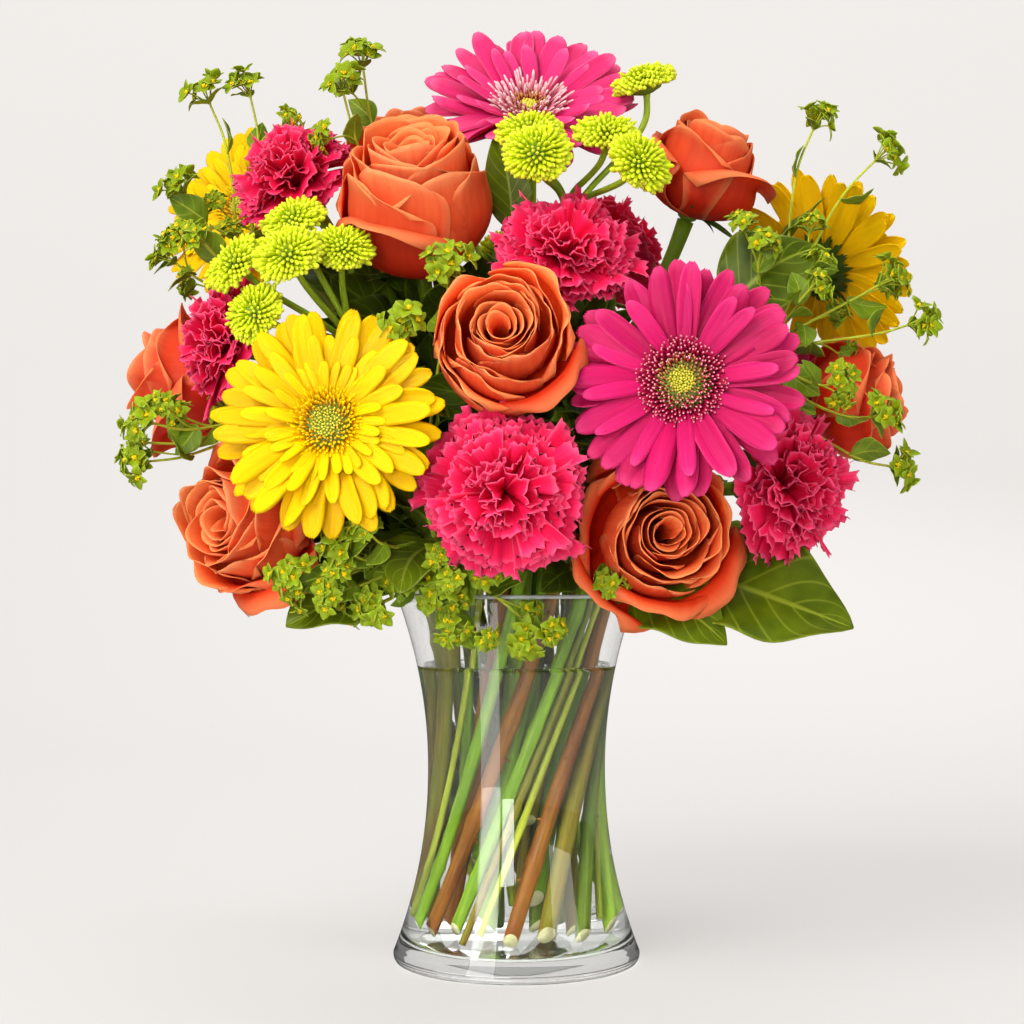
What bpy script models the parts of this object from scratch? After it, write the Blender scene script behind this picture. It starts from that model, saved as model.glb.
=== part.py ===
"""Gerberas, roses and carnations in a clear gathering vase.

Each cut flower is a stem and a head. The stems stand in a florist's spiral: every stem runs straight
from its foot to the vase's mouth, all turned the same way about the vase's axis, so that none of them
cross, and then bends out to its head. Lengths are in millimetres until they reach Blender, and
directions are (azimuth, elevation) in degrees, with azimuth -90 to the front.
"""
import math

import bmesh
import bpy
from mathutils import Vector

MM = 0.001
GAP = 0.3  # between neighbours that touch

# Vase: an hourglass of clear glass, turned about the Z axis, standing on z = 0
VASE_HEIGHT = 184.0
FOOT_RADIUS = 61.5
WAIST_RADIUS = 44.2
MOUTH_RADIUS = 60.5
WAIST_Z = 97.0
WALL = 3.0
FLOOR = 9.0
FOOT_EDGE = 5.0
WATER_LEVEL = 147.0

# Spiral of stems: a slot is (distance from the axis, azimuth) where the stem passes the mouth
SPIRAL_TURN = -95.0  # degrees from the mouth to the foot
FOOT_SPREAD = 0.95  # distance from the axis at the foot over that at the mouth

# A species' stem radius, its head's centre above its base as a share of the head's radius, and the
# head's profile down its outer side, as (distance from the axis, height) shares of that radius
SPECIES = {
    "gerbera": (4.2, 0.27, [(0, 0.31), (0.2, 0.32), (0.6, 0.28), (1.0, 0.29), (1.0, 0.25),
                            (0.34, 0.2), (0.24, 0.1), (0.09, 0), (0, 0)]),
    "rose": (3.6, 1.0, [(0, 1.72), (0.35, 1.7), (0.66, 1.82), (0.88, 1.6), (1.0, 1.15),
                        (0.94, 0.7), (0.72, 0.3), (0.32, 0.1), (0.15, 0), (0, 0)]),
    "carnation": (2.9, 1.08, [(0, 1.66), (0.5, 1.58), (0.86, 1.35), (1.0, 1.08), (0.9, 0.82),
                              (0.4, 0.62), (0.18, 0.5), (0.1, 0), (0, 0)]),
}
HEAD_STEPS = {"gerbera": 28, "rose": 12, "carnation": 14}
GERBERA_NOTCH = 0.86  # a notch between two petals, as a share of the petal's reach
ROSE_WAVE = 0.05
CARNATION_RUFFLE = 0.07
NECK = 4.0  # the straight end of a stem, below its head
BRANCH_STEPS = 3

# One row a flower: species, petals, centre of the head, facing, head radius, slot, height of the foot
FLOWERS = {
    "gerbera_1": ("gerbera", "pink", (72, -128, 280), (-104, 6), 54, (30, -62), 46),
    "gerbera_2": ("gerbera", "yellow", (-84, -128, 262), (-99, 10), 53, (46, -134), 13),
    "gerbera_3": ("gerbera", "pink", (6, -2, 428), (-90, 42), 54, (14, -78), 13),
    "gerbera_4": ("gerbera", "yellow", (-144, 44, 386), (-122, 26), 52, (30, 140), 13),
    "gerbera_5": ("gerbera", "yellow", (160, 36, 352), (50, 22), 52, (30, 10), 30),
    "gerbera_6": ("gerbera", "pink", (152, 94, 280), (26, 10), 46, (46, 18), 15),
    "gerbera_7": ("gerbera", "yellow", (-40, 140, 300), (100, 22), 53, (46, 80), 13),
    "rose_1": ("rose", "coral", (-48, -52, 370), (-96, 52), 36, (14, -140), 13),
    "rose_2": ("rose", "coral", (-7, -126, 301), (-92, 14), 29.5, (30, -104), 13),
    "rose_3": ("rose", "coral", (-130, -74, 218), (-130, 4), 33, (46, -156), 60),
    "rose_4": ("rose", "coral", (66, -92, 213), (-78, 2), 33, (46, -68), 13),
    "rose_5": ("rose", "coral", (94, -4, 397), (-40, 66), 29, (14, 42), 14),
    "rose_6": ("rose", "coral", (172, -14, 280), (-12, 12), 27.5, (46, -5), 13),
    "rose_7": ("rose", "coral", (-168, 0, 292), (-174, 12), 30, (46, 164), 13),
    "rose_8": ("rose", "coral", (-60, 25, 409), (130, 62), 26, (14, 120), 13),
    "rose_9": ("rose", "coral", (60, 128, 262), (66, 14), 33, (46, 46), 13),
    "carnation_1": ("carnation", "hot_pink", (-6, -130, 231), (-92, 0), 36, (46, -90), 13),
    "carnation_2": ("carnation", "hot_pink", (24, -77, 351), (-80, 46), 34, (30, -16), 70),
    "carnation_3": ("carnation", "hot_pink", (-114, -24, 394), (-130, 42), 32, (30, 168), 80),
    "carnation_4": ("carnation", "hot_pink", (-143, -66, 305), (-156, 12), 31, (46, -179), 30),
    "carnation_5": ("carnation", "hot_pink", (136, -70, 236), (-34, 2), 36, (46, -46), 17),
    "carnation_6": ("carnation", "hot_pink", (48, 84, 372), (62, 48), 34, (30, 60), 13),
    "carnation_7": ("carnation", "hot_pink", (-112, 104, 262), (138, 10), 34, (46, 122), 13),
}

# Branched stems: slot, height of the foot, fork, and one row a tip. A branch leaves the main stem
# the row's last length below the fork
POMPON_STEM = 2.2
POMPON_PROFILE = [(0, 1.05), (0.62, 0.86), (1.0, 0.42), (0.5, 0.05), (0, 0)]
POMPON_SPRAYS = {
    "pompon_spray_1": ((30, -132), 40, (-74, -60, 300), [
        ((-104, -76, 359), (-120, 50), 15, 2),
        ((-130, -88, 337), (-140, 35), 15, 12),
        ((-103, -106, 339), (-110, 40), 15.5, 8),
        ((-79, -92, 344), (-80, 45), 14, 5),
        ((-119, -101, 313), (-125, 20), 14, 18),
    ]),
    "pompon_spray_2": ((14, -34), 55, (24, -14, 374), [
        ((6, -60, 404), (-100, 60), 15.5, 2),
        ((9, -83, 389), (-95, 30), 15.5, 7),
        ((43, -58, 403), (-80, 60), 15.5, 4.5),
        ((58, -74, 386), (-60, 30), 15.5, 12),
        ((62, -20, 436), (-140, 68), 15, 16),
    ]),
    "pompon_spray_3": ((30, 100), 20, (-4, 62, 314), [
        ((-6, 108, 368), (95, 45), 15.5, 2),
        ((20, 124, 338), (75, 25), 15.5, 8),
        ((-30, 86, 396), (110, 60), 15, 5),
    ]),
}

UMBEL_STEM = 1.1
UMBEL_RADIUS = 10.0
UMBEL_PROFILE = [(0, 0.9), (1.0, 0.42), (0.5, 0.05), (0, 0)]
SPRIGS = {
    "bupleurum_sprig_1": ((46, -112), 16, (-32, -64, 200), [
        ((-76, -112, 206), (-120, 30), 4),
        ((-100, -101, 194), (-130, 10), 2),
        ((-62, -97, 181), (-120, -10), 7),
        ((-36, -92, 186), (-105, 0), 10),
        ((6, -76, 166), (-90, -30), 13),
        ((-50, -118, 304), (-100, 20), 1),
        ((-31, -104, 333), (-90, 40), 0.5),
    ]),
    "bupleurum_sprig_2": ((46, -168), 14, (-128, -12, 318), [
        ((-168, -94, 264), (-150, 20), 66),
        ((-172, -84, 246), (-150, 0), 72),
        ((-166, -40, 345), (-160, 40), 2),
        ((-164, -22, 382), (-160, 50), 5),
        ((-157, 14, 434), (-160, 60), 8),
        ((-136, 16, 438), (-150, 70), 12),
    ]),
    "bupleurum_sprig_3": ((46, -26), 18, (118, -34, 300), [
        ((149, -6, 417), (-20, 60), 2),
        ((181, -4, 401), (-10, 40), 6),
        ((178, -34, 335), (-20, 30), 10),
        ((190, -44, 314), (-25, 20), 14),
        ((168, -66, 268), (-30, 10), 24),
        ((180, -52, 245), (-30, 0), 34),
    ]),
    "bupleurum_sprig_4": ((14, -178), 24, (-48, 1, 322), [
        ((-76, -14, 446), (-110, 75), 2),
        ((-84, -40, 428), (-110, 60), 8),
    ]),
    "bupleurum_sprig_5": ((46, 64), 22, (12, 84, 256), [
        ((-84, 138, 236), (120, 10), 12),
        ((4, 164, 244), (90, 10), 16),
        ((98, 120, 316), (50, 30), 2),
        ((-66, 112, 362), (120, 40), 5),
    ]),
}

# Leafy twigs: slot, height of the foot, fork, and one row a leaf: base, tip, width, side it faces
# and how far below the fork its stalk leaves
TWIG_RADIUS = 1.8
LEAF_THICKNESS = 1.0
TWIGS = {
    "leaf_twig_1": ((46, -36), 13, (50, -33, 192), [
        ((80, -46, 197), (152, -74, 172), 38, (-70, 55), 2),
        ((48, -64, 185), (93, -86, 164), 26, (-70, 35), 5),
    ]),
    "leaf_twig_2": ((30, -160), 13, (-52, -40, 204), [
        ((-66, -66, 194), (-106, -84, 170), 30, (-100, 60), 2),
        ((-36, -84, 208), (-52, -112, 186), 26, (-100, 60), 6),
    ]),
    "leaf_twig_3": ((14, -4), 13, (24, 8, 330), [
        ((-2, -34, 360), (-10, -38, 406), 18, (-95, 5), 2),
        ((100, -40, 318), (144, -46, 350), 34, (-80, 50), 10),
    ]),
    "leaf_twig_4": ((30, 34), 13, (46, 38, 204), [
        ((24, 72, 208), (30, 120, 184), 34, (80, 60), 5),
        ((78, 62, 212), (126, 84, 190), 36, (35, 60), 2),
    ]),
}

COLOURS = {  # base colour, roughness
    "glass": ((0.9, 0.95, 0.95), 0.03),
    "water": ((0.92, 0.96, 0.96), 0.02),
    "pink": ((0.76, 0.03, 0.2), 0.5),
    "yellow": ((0.92, 0.6, 0.01), 0.5),
    "coral": ((0.9, 0.2, 0.09), 0.5),
    "hot_pink": ((0.82, 0.05, 0.16), 0.6),
    "lime": ((0.5, 0.62, 0.03), 0.6),
    "bupleurum": ((0.28, 0.38, 0.03), 0.5),
    "leaf": ((0.08, 0.14, 0.01), 0.4),
    "green_stem": ((0.2, 0.33, 0.04), 0.45),
    "brown_stem": ((0.26, 0.09, 0.02), 0.45),
}
BROWN_STEMS = ("rose_2", "rose_4", "rose_6", "rose_8")


def unit(azimuth, elevation=0.0):
    """The direction at these degrees from +X towards +Y, and up from the horizontal."""
    a, e = math.radians(azimuth), math.radians(elevation)
    return Vector((math.cos(a) * math.cos(e), math.sin(a) * math.cos(e), math.sin(e)))


def own_collection(name):
    made = bpy.data.collections.new(name)
    bpy.context.scene.collection.children.link(made)
    return made


def make_material(name):
    colour, roughness = COLOURS[name]
    made = bpy.data.materials.new(name)
    made.use_nodes = True
    shader = made.node_tree.nodes["Principled BSDF"]
    shader.inputs["Base Color"].default_value = (*colour, 1.0)
    shader.inputs["Roughness"].default_value = roughness
    shader.inputs["Metallic"].default_value = 0.0
    if name in ("glass", "water"):
        shader.inputs["Transmission Weight"].default_value = 1.0
    return made


def add(name, data, collection, material=None):
    obj = bpy.data.objects.new(name, data)
    collection.objects.link(obj)
    if material:
        data.materials.append(material)
    return obj


def evaluated_mesh(obj):
    """The object's mesh with its modifiers in it, as a new mesh."""
    graph = bpy.context.evaluated_depsgraph_get()
    return bpy.data.meshes.new_from_object(obj.evaluated_get(graph))


def settle(obj):
    """Turns a curve, or a mesh with modifiers, into a plain mesh object of the same name and place."""
    mesh = evaluated_mesh(obj)
    shape = bmesh.new()
    shape.from_mesh(mesh)
    bmesh.ops.remove_doubles(shape, verts=shape.verts, dist=1e-6)
    shape.to_mesh(mesh)
    shape.free()
    name, place, home = obj.name, obj.matrix_world.copy(), obj.users_collection[0]
    material = obj.data.materials[0] if obj.data.materials else None
    bpy.data.objects.remove(obj)
    mesh.materials.clear()
    made = add(name, mesh, home, material)
    made.matrix_world = place
    return made


def turned(name, profile, steps, collection, material=None, scale=1.0):
    """A profile of (distance from the axis, height), top to bottom, turned about Z."""
    mesh = bpy.data.meshes.new(name)
    points = [(r * scale * MM, 0.0, z * scale * MM) for r, z in profile]
    mesh.from_pydata(points, [(i, i + 1) for i in range(len(points) - 1)], [])
    obj = add(name, mesh, collection, material)
    screw = obj.modifiers.new("turn", "SCREW")
    screw.steps = screw.render_steps = steps
    screw.use_merge_vertices = True
    screw.merge_threshold = 0.00001
    screw.use_smooth_shade = True
    return obj


def tube(name, points, radius, collection, material=None, resolution=2):
    """A round bar through the points, with flat ends."""
    curve = bpy.data.curves.new(name, "CURVE")
    curve.dimensions = "3D"
    curve.bevel_depth = radius * MM
    curve.bevel_resolution = resolution
    curve.use_fill_caps = True
    spline = curve.splines.new("POLY")
    spline.points.add(len(points) - 1)
    for slot, point in zip(spline.points, points):
        slot.co = (*(Vector(point) * MM), 1.0)
    return add(name, curve, collection, material)


def face_towards(obj, base, facing):
    """Stands the object on its base point with its own +Z along the facing direction."""
    obj.rotation_mode = "QUATERNION"
    obj.rotation_quaternion = facing.to_track_quat("Z", "Y")
    obj.location = base * MM


def curve_between(start, along, end, into, count):
    """Points of a smooth curve from start, leaving in the direction along, to end, arriving along into."""
    reach = (end - start).length
    points = []
    for step in range(1, count + 1):
        t = step / count
        a, b = 1 - 3 * t**2 + 2 * t**3, t - 2 * t**2 + t**3
        c, d = 3 * t**2 - 2 * t**3, t**3 - t**2
        points.append(start * a + along * reach * b + end * c + into * reach * d)
    return points


def slot_at(slot, z):
    """Where the straight part of this slot's stem stands at height z."""
    distance, azimuth = slot
    top = unit(azimuth) * distance
    foot = unit(azimuth + SPIRAL_TURN) * distance * FOOT_SPREAD
    point = foot.lerp(top, z / VASE_HEIGHT)
    return Vector((point.x, point.y, z))


def stem_points(slot, foot_z, end, into, count=5):
    foot, mouth = slot_at(slot, foot_z), slot_at(slot, VASE_HEIGHT)
    along = (mouth - foot).normalized()
    neck = end - into * NECK
    return [foot, mouth] + curve_between(mouth, along, neck, into, count) + [end]


def outer_radius(z):
    """The vase's outside at height z: one smooth flare below the waist and one above it."""
    if z < WAIST_Z:
        share = (WAIST_Z - z) / (WAIST_Z - FOOT_EDGE)
        return WAIST_RADIUS + (FOOT_RADIUS - WAIST_RADIUS) * share**2.1
    share = (z - WAIST_Z) / (VASE_HEIGHT - WAIST_Z)
    return WAIST_RADIUS + (MOUTH_RADIUS - WAIST_RADIUS) * share**2.0


def inner_profile():
    """The inside of the glass from the corner of its floor up to the rim: (distance, height)."""
    steps = 8
    low, high = FLOOR + 6, VASE_HEIGHT - 2
    heights = [low + (high - low) * i / steps for i in range(steps + 1)]
    corner = [(outer_radius(FLOOR) - WALL - 5, FLOOR), (outer_radius(FLOOR + 1.5) - WALL, FLOOR + 1.5)]
    return corner + [(outer_radius(z) - WALL, z) for z in heights]


def vase_profile():
    inner = [(0, FLOOR)] + inner_profile()
    rim = [(MOUTH_RADIUS - WALL / 2, VASE_HEIGHT)]
    outer = [(r + WALL, z) for r, z in reversed(inner_profile()[2:])]
    foot = [(FOOT_RADIUS, FOOT_EDGE), (FOOT_RADIUS - 1, 1.5), (FOOT_RADIUS - 3, 0), (0, 0)]
    return inner + rim + outer + foot


def make_water(parts, cutters, material, channels):
    """The water inside the glass, with a channel round each stem that stands in it."""
    wetted = [(r - GAP, z + GAP) for r, z in inner_profile() if z < WATER_LEVEL - 5]
    profile = [(0, WATER_LEVEL), (outer_radius(WATER_LEVEL) - WALL - 2 * GAP, WATER_LEVEL)]
    profile += list(reversed(wetted)) + [(0, FLOOR + GAP)]
    water = turned("water", profile, 32, parts, material)
    for number, (slot, foot_z, radius) in enumerate(channels):
        foot, top = slot_at(slot, foot_z), slot_at(slot, WATER_LEVEL + 8)
        below = foot - (top - foot).normalized() * GAP
        wide = (radius + GAP) / math.cos(math.pi / 8)
        channel = settle(tube(f"channel_{number}", [below, top], wide, cutters))
        channel.hide_render = True
        channel.display_type = "WIRE"
        cut = water.modifiers.new(channel.name, "BOOLEAN")
        cut.object = channel
        cut.operation = "DIFFERENCE"
        cut.solver = "EXACT"
    return water


def ruffle(mesh, kind, radius):
    """Moves the turned head's points in and out, for petals at a gerbera's edge or folds in the others."""
    full = radius * MM
    for point in mesh.vertices:
        reach = math.hypot(point.co.x, point.co.y)
        if reach < 0.5 * full:
            continue
        turn = math.atan2(point.co.y, point.co.x)
        step = round(turn / math.tau * HEAD_STEPS[kind])
        if kind == "gerbera":
            share = GERBERA_NOTCH if step % 2 and reach > 0.9 * full else 1.0
        elif kind == "rose":
            share = 1 + ROSE_WAVE * (math.cos(5 * turn + point.co.z / full * 3) - 1)
        else:
            share = 1 - CARNATION_RUFFLE * (step % 2)
        point.co.x *= share
        point.co.y *= share


def make_flower(name, parts, materials, row):
    kind, petals, centre, facing, radius, slot, foot_z = row
    stem_radius, middle, profile = SPECIES[kind]
    forward = unit(*facing)
    base = Vector(centre) - forward * middle * radius
    head = turned(f"{name}_head", profile, HEAD_STEPS[kind], parts, materials[petals], radius)
    head = settle(head)
    ruffle(head.data, kind, radius)
    face_towards(head, base, forward)
    brown = name in BROWN_STEMS
    points = stem_points(slot, foot_z, base - forward * GAP, forward)
    tube(f"{name}_stem", points, stem_radius, parts, materials["brown_stem" if brown else "green_stem"])
    return slot, foot_z, stem_radius


def united(name, pieces, parts, material):
    """One closed body from pieces that run into each other."""
    body = settle(pieces[0])
    for piece in pieces[1:]:
        piece = settle(piece)
        join = body.modifiers.new(piece.name, "BOOLEAN")
        join.object = piece
        join.operation = "UNION"
        join.solver = "EXACT"
    whole = add(name, evaluated_mesh(body), parts)
    whole.data.materials.clear()
    whole.data.materials.append(material)
    for piece in [body] + [modifier.object for modifier in body.modifiers]:
        bpy.data.objects.remove(piece)
    return whole


def place_below(points, drop):
    """The point this far before the end of a path, and the path's direction there."""
    for end, start in zip(reversed(points), reversed(points[:-1])):
        run = (end - start).length
        if drop <= run:
            return end.lerp(start, drop / run), (end - start) / run
        drop -= run
    return points[0], (points[1] - points[0]).normalized()


def main_stem(slot, foot_z, fork):
    """Points of a branched stem from its foot to its fork."""
    fork = Vector(fork)
    return stem_points(slot, foot_z, fork, (fork - slot_at(slot, VASE_HEIGHT)).normalized(), 4)


def branch_points(stem, drop, end, forward):
    """A branch that leaves the stem this far below its fork."""
    start, along = place_below(stem, drop)
    return [start] + curve_between(start, along, end, forward, BRANCH_STEPS)


def make_spray(name, parts, scratch, material, row):
    """A branched stem with a small round head on each branch."""
    slot, foot_z, fork, heads = row
    stem = main_stem(slot, foot_z, fork)
    pieces = [tube(name + "_main", stem, POMPON_STEM, scratch)]
    for number, (centre, facing, radius, drop) in enumerate(heads):
        forward = unit(*facing)
        base = Vector(centre) - forward * radius / 2
        points = branch_points(stem, drop, base + forward, forward)
        pieces.append(tube(f"{name}_branch_{number}", points, POMPON_STEM * 0.7, scratch, resolution=1))
        head = turned(f"{name}_head_{number}", POMPON_PROFILE, 8, scratch, None, radius)
        face_towards(head, base, forward)
        pieces.append(head)
    bpy.context.view_layer.update()
    united(name, pieces, parts, material)
    return slot, foot_z, POMPON_STEM


def make_sprig(name, parts, scratch, material, row):
    """A thin branched stem with an umbel of tiny flowers at each tip."""
    slot, foot_z, fork, umbels = row
    stem = main_stem(slot, foot_z, fork)
    pieces = [tube(name + "_main", stem, UMBEL_STEM * 1.5, scratch, resolution=1)]
    for number, (centre, facing, drop) in enumerate(umbels):
        forward = unit(*facing)
        base = Vector(centre) - forward * UMBEL_RADIUS * 0.4
        points = branch_points(stem, drop, base + forward, forward)
        pieces.append(tube(f"{name}_branch_{number}", points, UMBEL_STEM, scratch, resolution=1))
        umbel = turned(f"{name}_umbel_{number}", UMBEL_PROFILE, 6, scratch, None, UMBEL_RADIUS)
        face_towards(umbel, base, forward)
        pieces.append(umbel)
    bpy.context.view_layer.update()
    united(name, pieces, parts, material)
    return slot, foot_z, UMBEL_STEM * 1.5


def leaf_blade(name, base, tip, width, up, scratch):
    """A pointed oval blade from base to tip, cupped along its midrib."""
    base, tip = Vector(base), Vector(tip)
    along = tip - base
    side = along.cross(up).normalized()
    face = side.cross(along).normalized()
    shape = bmesh.new()
    bmesh.ops.create_grid(shape, x_segments=5, y_segments=2, size=1.0)
    for point in shape.verts:
        t = (point.co.x + 1) / 2
        across = point.co.y * (0.06 + 0.94 * math.sin(math.pi * t**0.85) ** 0.8) * width / 2
        lift = abs(across) * 0.25 + math.sin(math.pi * t) * width * 0.12
        point.co = (base + along * t + side * across + face * lift) * MM
    mesh = bpy.data.meshes.new(name)
    shape.to_mesh(mesh)
    shape.free()
    blade = add(name, mesh, scratch)
    thick = blade.modifiers.new("thickness", "SOLIDIFY")
    thick.thickness = LEAF_THICKNESS * MM
    thick.offset = 0
    return blade


def make_twig(name, parts, scratch, material, row):
    """A twig with a leaf blade on each stalk."""
    slot, foot_z, fork, leaves = row
    stem = main_stem(slot, foot_z, fork)
    pieces = [tube(name + "_main", stem, TWIG_RADIUS, scratch, resolution=1)]
    for number, (base, tip, width, facing, drop) in enumerate(leaves):
        forward = (Vector(tip) - Vector(base)).normalized()
        points = branch_points(stem, drop, Vector(base) + forward * 4, forward)
        pieces.append(tube(f"{name}_stalk_{number}", points, TWIG_RADIUS * 0.6, scratch, resolution=1))
        pieces.append(leaf_blade(f"{name}_blade_{number}", base, tip, width, unit(*facing), scratch))
    bpy.context.view_layer.update()
    united(name, pieces, parts, material)
    return slot, foot_z, TWIG_RADIUS


def main():
    for obj in list(bpy.data.objects):
        bpy.data.objects.remove(obj)
    parts = own_collection("gerberas_in_a_vase")
    cutters = own_collection("cutters")
    cutters.hide_render = True
    materials = {name: make_material(name) for name in COLOURS}

    turned("vase", vase_profile(), 32, parts, materials["glass"])
    channels = [make_flower(name, parts, materials, row) for name, row in FLOWERS.items()]
    for name, row in POMPON_SPRAYS.items():
        channels.append(make_spray(name, parts, cutters, materials["lime"], row))
    for name, row in SPRIGS.items():
        channels.append(make_sprig(name, parts, cutters, materials["bupleurum"], row))
    for name, row in TWIGS.items():
        channels.append(make_twig(name, parts, cutters, materials["leaf"], row))
    make_water(parts, cutters, materials["water"], channels)


main()
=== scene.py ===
import math

import bpy
import bmesh
import numpy as np
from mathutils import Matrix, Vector


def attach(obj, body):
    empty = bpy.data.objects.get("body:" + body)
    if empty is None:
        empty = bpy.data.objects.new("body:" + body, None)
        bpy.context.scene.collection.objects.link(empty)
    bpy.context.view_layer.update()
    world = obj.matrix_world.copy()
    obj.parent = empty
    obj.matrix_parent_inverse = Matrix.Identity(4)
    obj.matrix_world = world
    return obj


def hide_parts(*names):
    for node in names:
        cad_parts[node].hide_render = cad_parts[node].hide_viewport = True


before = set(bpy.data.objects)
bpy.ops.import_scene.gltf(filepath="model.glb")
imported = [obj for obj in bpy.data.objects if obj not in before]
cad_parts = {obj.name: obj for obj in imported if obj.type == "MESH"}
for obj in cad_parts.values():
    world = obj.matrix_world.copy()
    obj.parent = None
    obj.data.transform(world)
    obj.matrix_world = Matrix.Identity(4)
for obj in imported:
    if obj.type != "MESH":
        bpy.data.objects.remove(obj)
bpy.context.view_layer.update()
mm = 0.001
tau = math.tau
goldenTurn = 2.39996  # petals and florets follow one another round the middle by this angle
upward = np.array([0.0, 0.0, 1.0])
print("frame loaded:", len(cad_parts), "nodes")


def newPart():
    return {"co": [], "tone": [], "faces": [], "looks": [], "count": 0}


def addGrid(part, grid, tone, look=0, wrap=False):
    # grid is rows x cols x 3; tone is along, across, tint and depth for each point; depth carries painted
    # shade, and the real red of outer rose petals
    rows, cols = grid.shape[:2]
    index = np.arange(rows * cols).reshape(rows, cols) + part["count"]
    if wrap:
        index = np.concatenate([index, index[:, :1]], 1)
    quads = np.stack([index[:-1, :-1], index[:-1, 1:], index[1:, 1:], index[1:, :-1]], -1)
    quads = quads.reshape(-1, 4).tolist()
    part["co"].append(grid.reshape(-1, 3))
    part["tone"].append(np.broadcast_to(tone, (rows, cols, 4)).reshape(-1, 4))
    part["faces"] += quads
    part["looks"] += [look] * len(quads)
    part["count"] += rows * cols
    return index


def addFace(part, corners, look=0):
    part["faces"].append([int(c) for c in corners])
    part["looks"].append(look)


def toneOf(along, across, tint, depthAndShade, rows, cols):
    made = np.zeros((rows, cols, 4))
    made[..., 0], made[..., 1], made[..., 2], made[..., 3] = along, across, tint, depthAndShade
    return made


def makePiece(name, part, looks, replaced=(), thick=0.0, backLook=0, rimLook=0):
    mesh = bpy.data.meshes.new(name)
    co = np.concatenate(part["co"])
    mesh.from_pydata(co, [], part["faces"])
    for look in looks:
        mesh.materials.append(look)
    mesh.polygons.foreach_set("material_index", np.array(part["looks"], dtype=np.int32))
    mesh.polygons.foreach_set("use_smooth", np.full(len(mesh.polygons), True))
    tone = mesh.attributes.new("tone", "FLOAT_COLOR", "POINT")
    tone.data.foreach_set("color", np.concatenate(part["tone"]).astype(np.float32).ravel())
    tidy = bmesh.new()
    tidy.from_mesh(mesh)
    bmesh.ops.remove_doubles(tidy, verts=tidy.verts, dist=2e-6)
    tidy.to_mesh(mesh)
    tidy.free()
    piece = bpy.data.objects.new(name, mesh)
    bpy.context.scene.collection.objects.link(piece)
    if thick:
        solid = piece.modifiers.new("thickness", "SOLIDIFY")
        solid.thickness = thick
        solid.offset = 0
        solid.material_offset = backLook
        solid.material_offset_rim = rimLook
    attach(piece, "root")
    if replaced:
        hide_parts(*replaced)
    return piece


def direction(azimuth, elevation=0.0):
    a, e = math.radians(azimuth), math.radians(elevation)
    return np.array([math.cos(a) * math.cos(e), math.sin(a) * math.cos(e), math.sin(e)])


def unit(v):
    return v / max(1e-12, np.linalg.norm(v))


def basis(forward, roll=0.0):
    # columns are two directions across, then forward
    guide = upward if abs(forward[2]) < 0.95 else np.array([0.0, 1.0, 0.0])
    side = unit(np.cross(guide, forward))
    up = np.cross(forward, side)
    c, s = math.cos(roll), math.sin(roll)
    return np.stack([side * c + up * s, up * c - side * s, forward], 1)


def placed(points, base, axes):
    return points @ axes.T + base


def smoothPath(points, count):
    # a smooth curve through the points, evenly spaced
    p = np.asarray(points, float)
    ends = np.concatenate([[2 * p[0] - p[1]], p, [2 * p[-1] - p[-2]]])
    fine = []
    for i in range(len(p) - 1):
        a, b, c, d = ends[i:i + 4]
        t = np.linspace(0, 1, 12, endpoint=False)[:, None]
        fine.append(0.5 * (2 * b + (c - a) * t + (2 * a - 5 * b + 4 * c - d) * t**2
                           + (3 * b - a - 3 * c + d) * t**3))
    fine = np.concatenate(fine + [p[-1:]])
    run = np.concatenate([[0], np.cumsum(np.linalg.norm(np.diff(fine, axis=0), axis=1))])
    want = np.linspace(0, run[-1], count)
    return np.stack([np.interp(want, run, fine[:, k]) for k in range(3)], 1)


def sweep(part, path, radii, sides, tint=0.0, look=0, startLook=None, endLook=None, lumps=None, slant=0.0):
    # a round bar along the path, with its own radius at each point; slant tips its first end outwards
    path = np.asarray(path, float)
    along = np.gradient(path, axis=0)
    along /= np.linalg.norm(along, axis=1)[:, None]
    side = basis(along[0])[:, 0]
    turn = np.linspace(0, tau, sides, endpoint=False)
    grid = np.zeros((len(path), sides, 3))
    for i, (point, ahead) in enumerate(zip(path, along)):
        side = unit(side - ahead * np.dot(side, ahead))
        up = np.cross(ahead, side)
        r = radii[i] * (1 if lumps is None else 1 + lumps[i] * np.cos(3 * turn + i * 0.4))
        ring = np.cos(turn)[:, None] * side + np.sin(turn)[:, None] * up
        grid[i] = point + ring * np.reshape(r, (-1, 1))
    if slant:
        out = unit(np.array([path[0][0], path[0][1], 0.0]))
        grid[0] += along[0] * (slant * ((grid[0] - path[0]) @ out + radii[0]))[:, None]
    share = np.linspace(0, 1, len(path))[:, None]
    tone = toneOf(share, turn[None, :] / tau, tint, 0, len(path), sides)
    index = addGrid(part, grid, tone, look, wrap=True)
    if startLook is not None:
        addFace(part, index[0, :-1][::-1], startLook)
    if endLook is not None:
        addFace(part, index[-1, :-1], endLook)


def lathe(part, profile, sides, base, axes, look=0, wave=None):
    # a profile of (distance from the axis, height) turned about the forward axis
    turn = np.linspace(0, tau, sides, endpoint=False)
    profile = np.asarray(profile, float)
    r = np.maximum(profile[:, 0], 1e-7)[:, None] * (1 if wave is None else 1 + wave * np.cos(5 * turn)[None])
    grid = np.stack([np.cos(turn)[None] * r, np.sin(turn)[None] * r,
                     np.repeat(profile[:, 1:2], sides, 1)], -1)
    share = np.linspace(0, 1, len(profile))[:, None]
    tone = toneOf(share, turn[None] / tau, 0, 0, len(profile), sides)
    addGrid(part, placed(grid, base, axes), tone, look, wrap=True)


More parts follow.
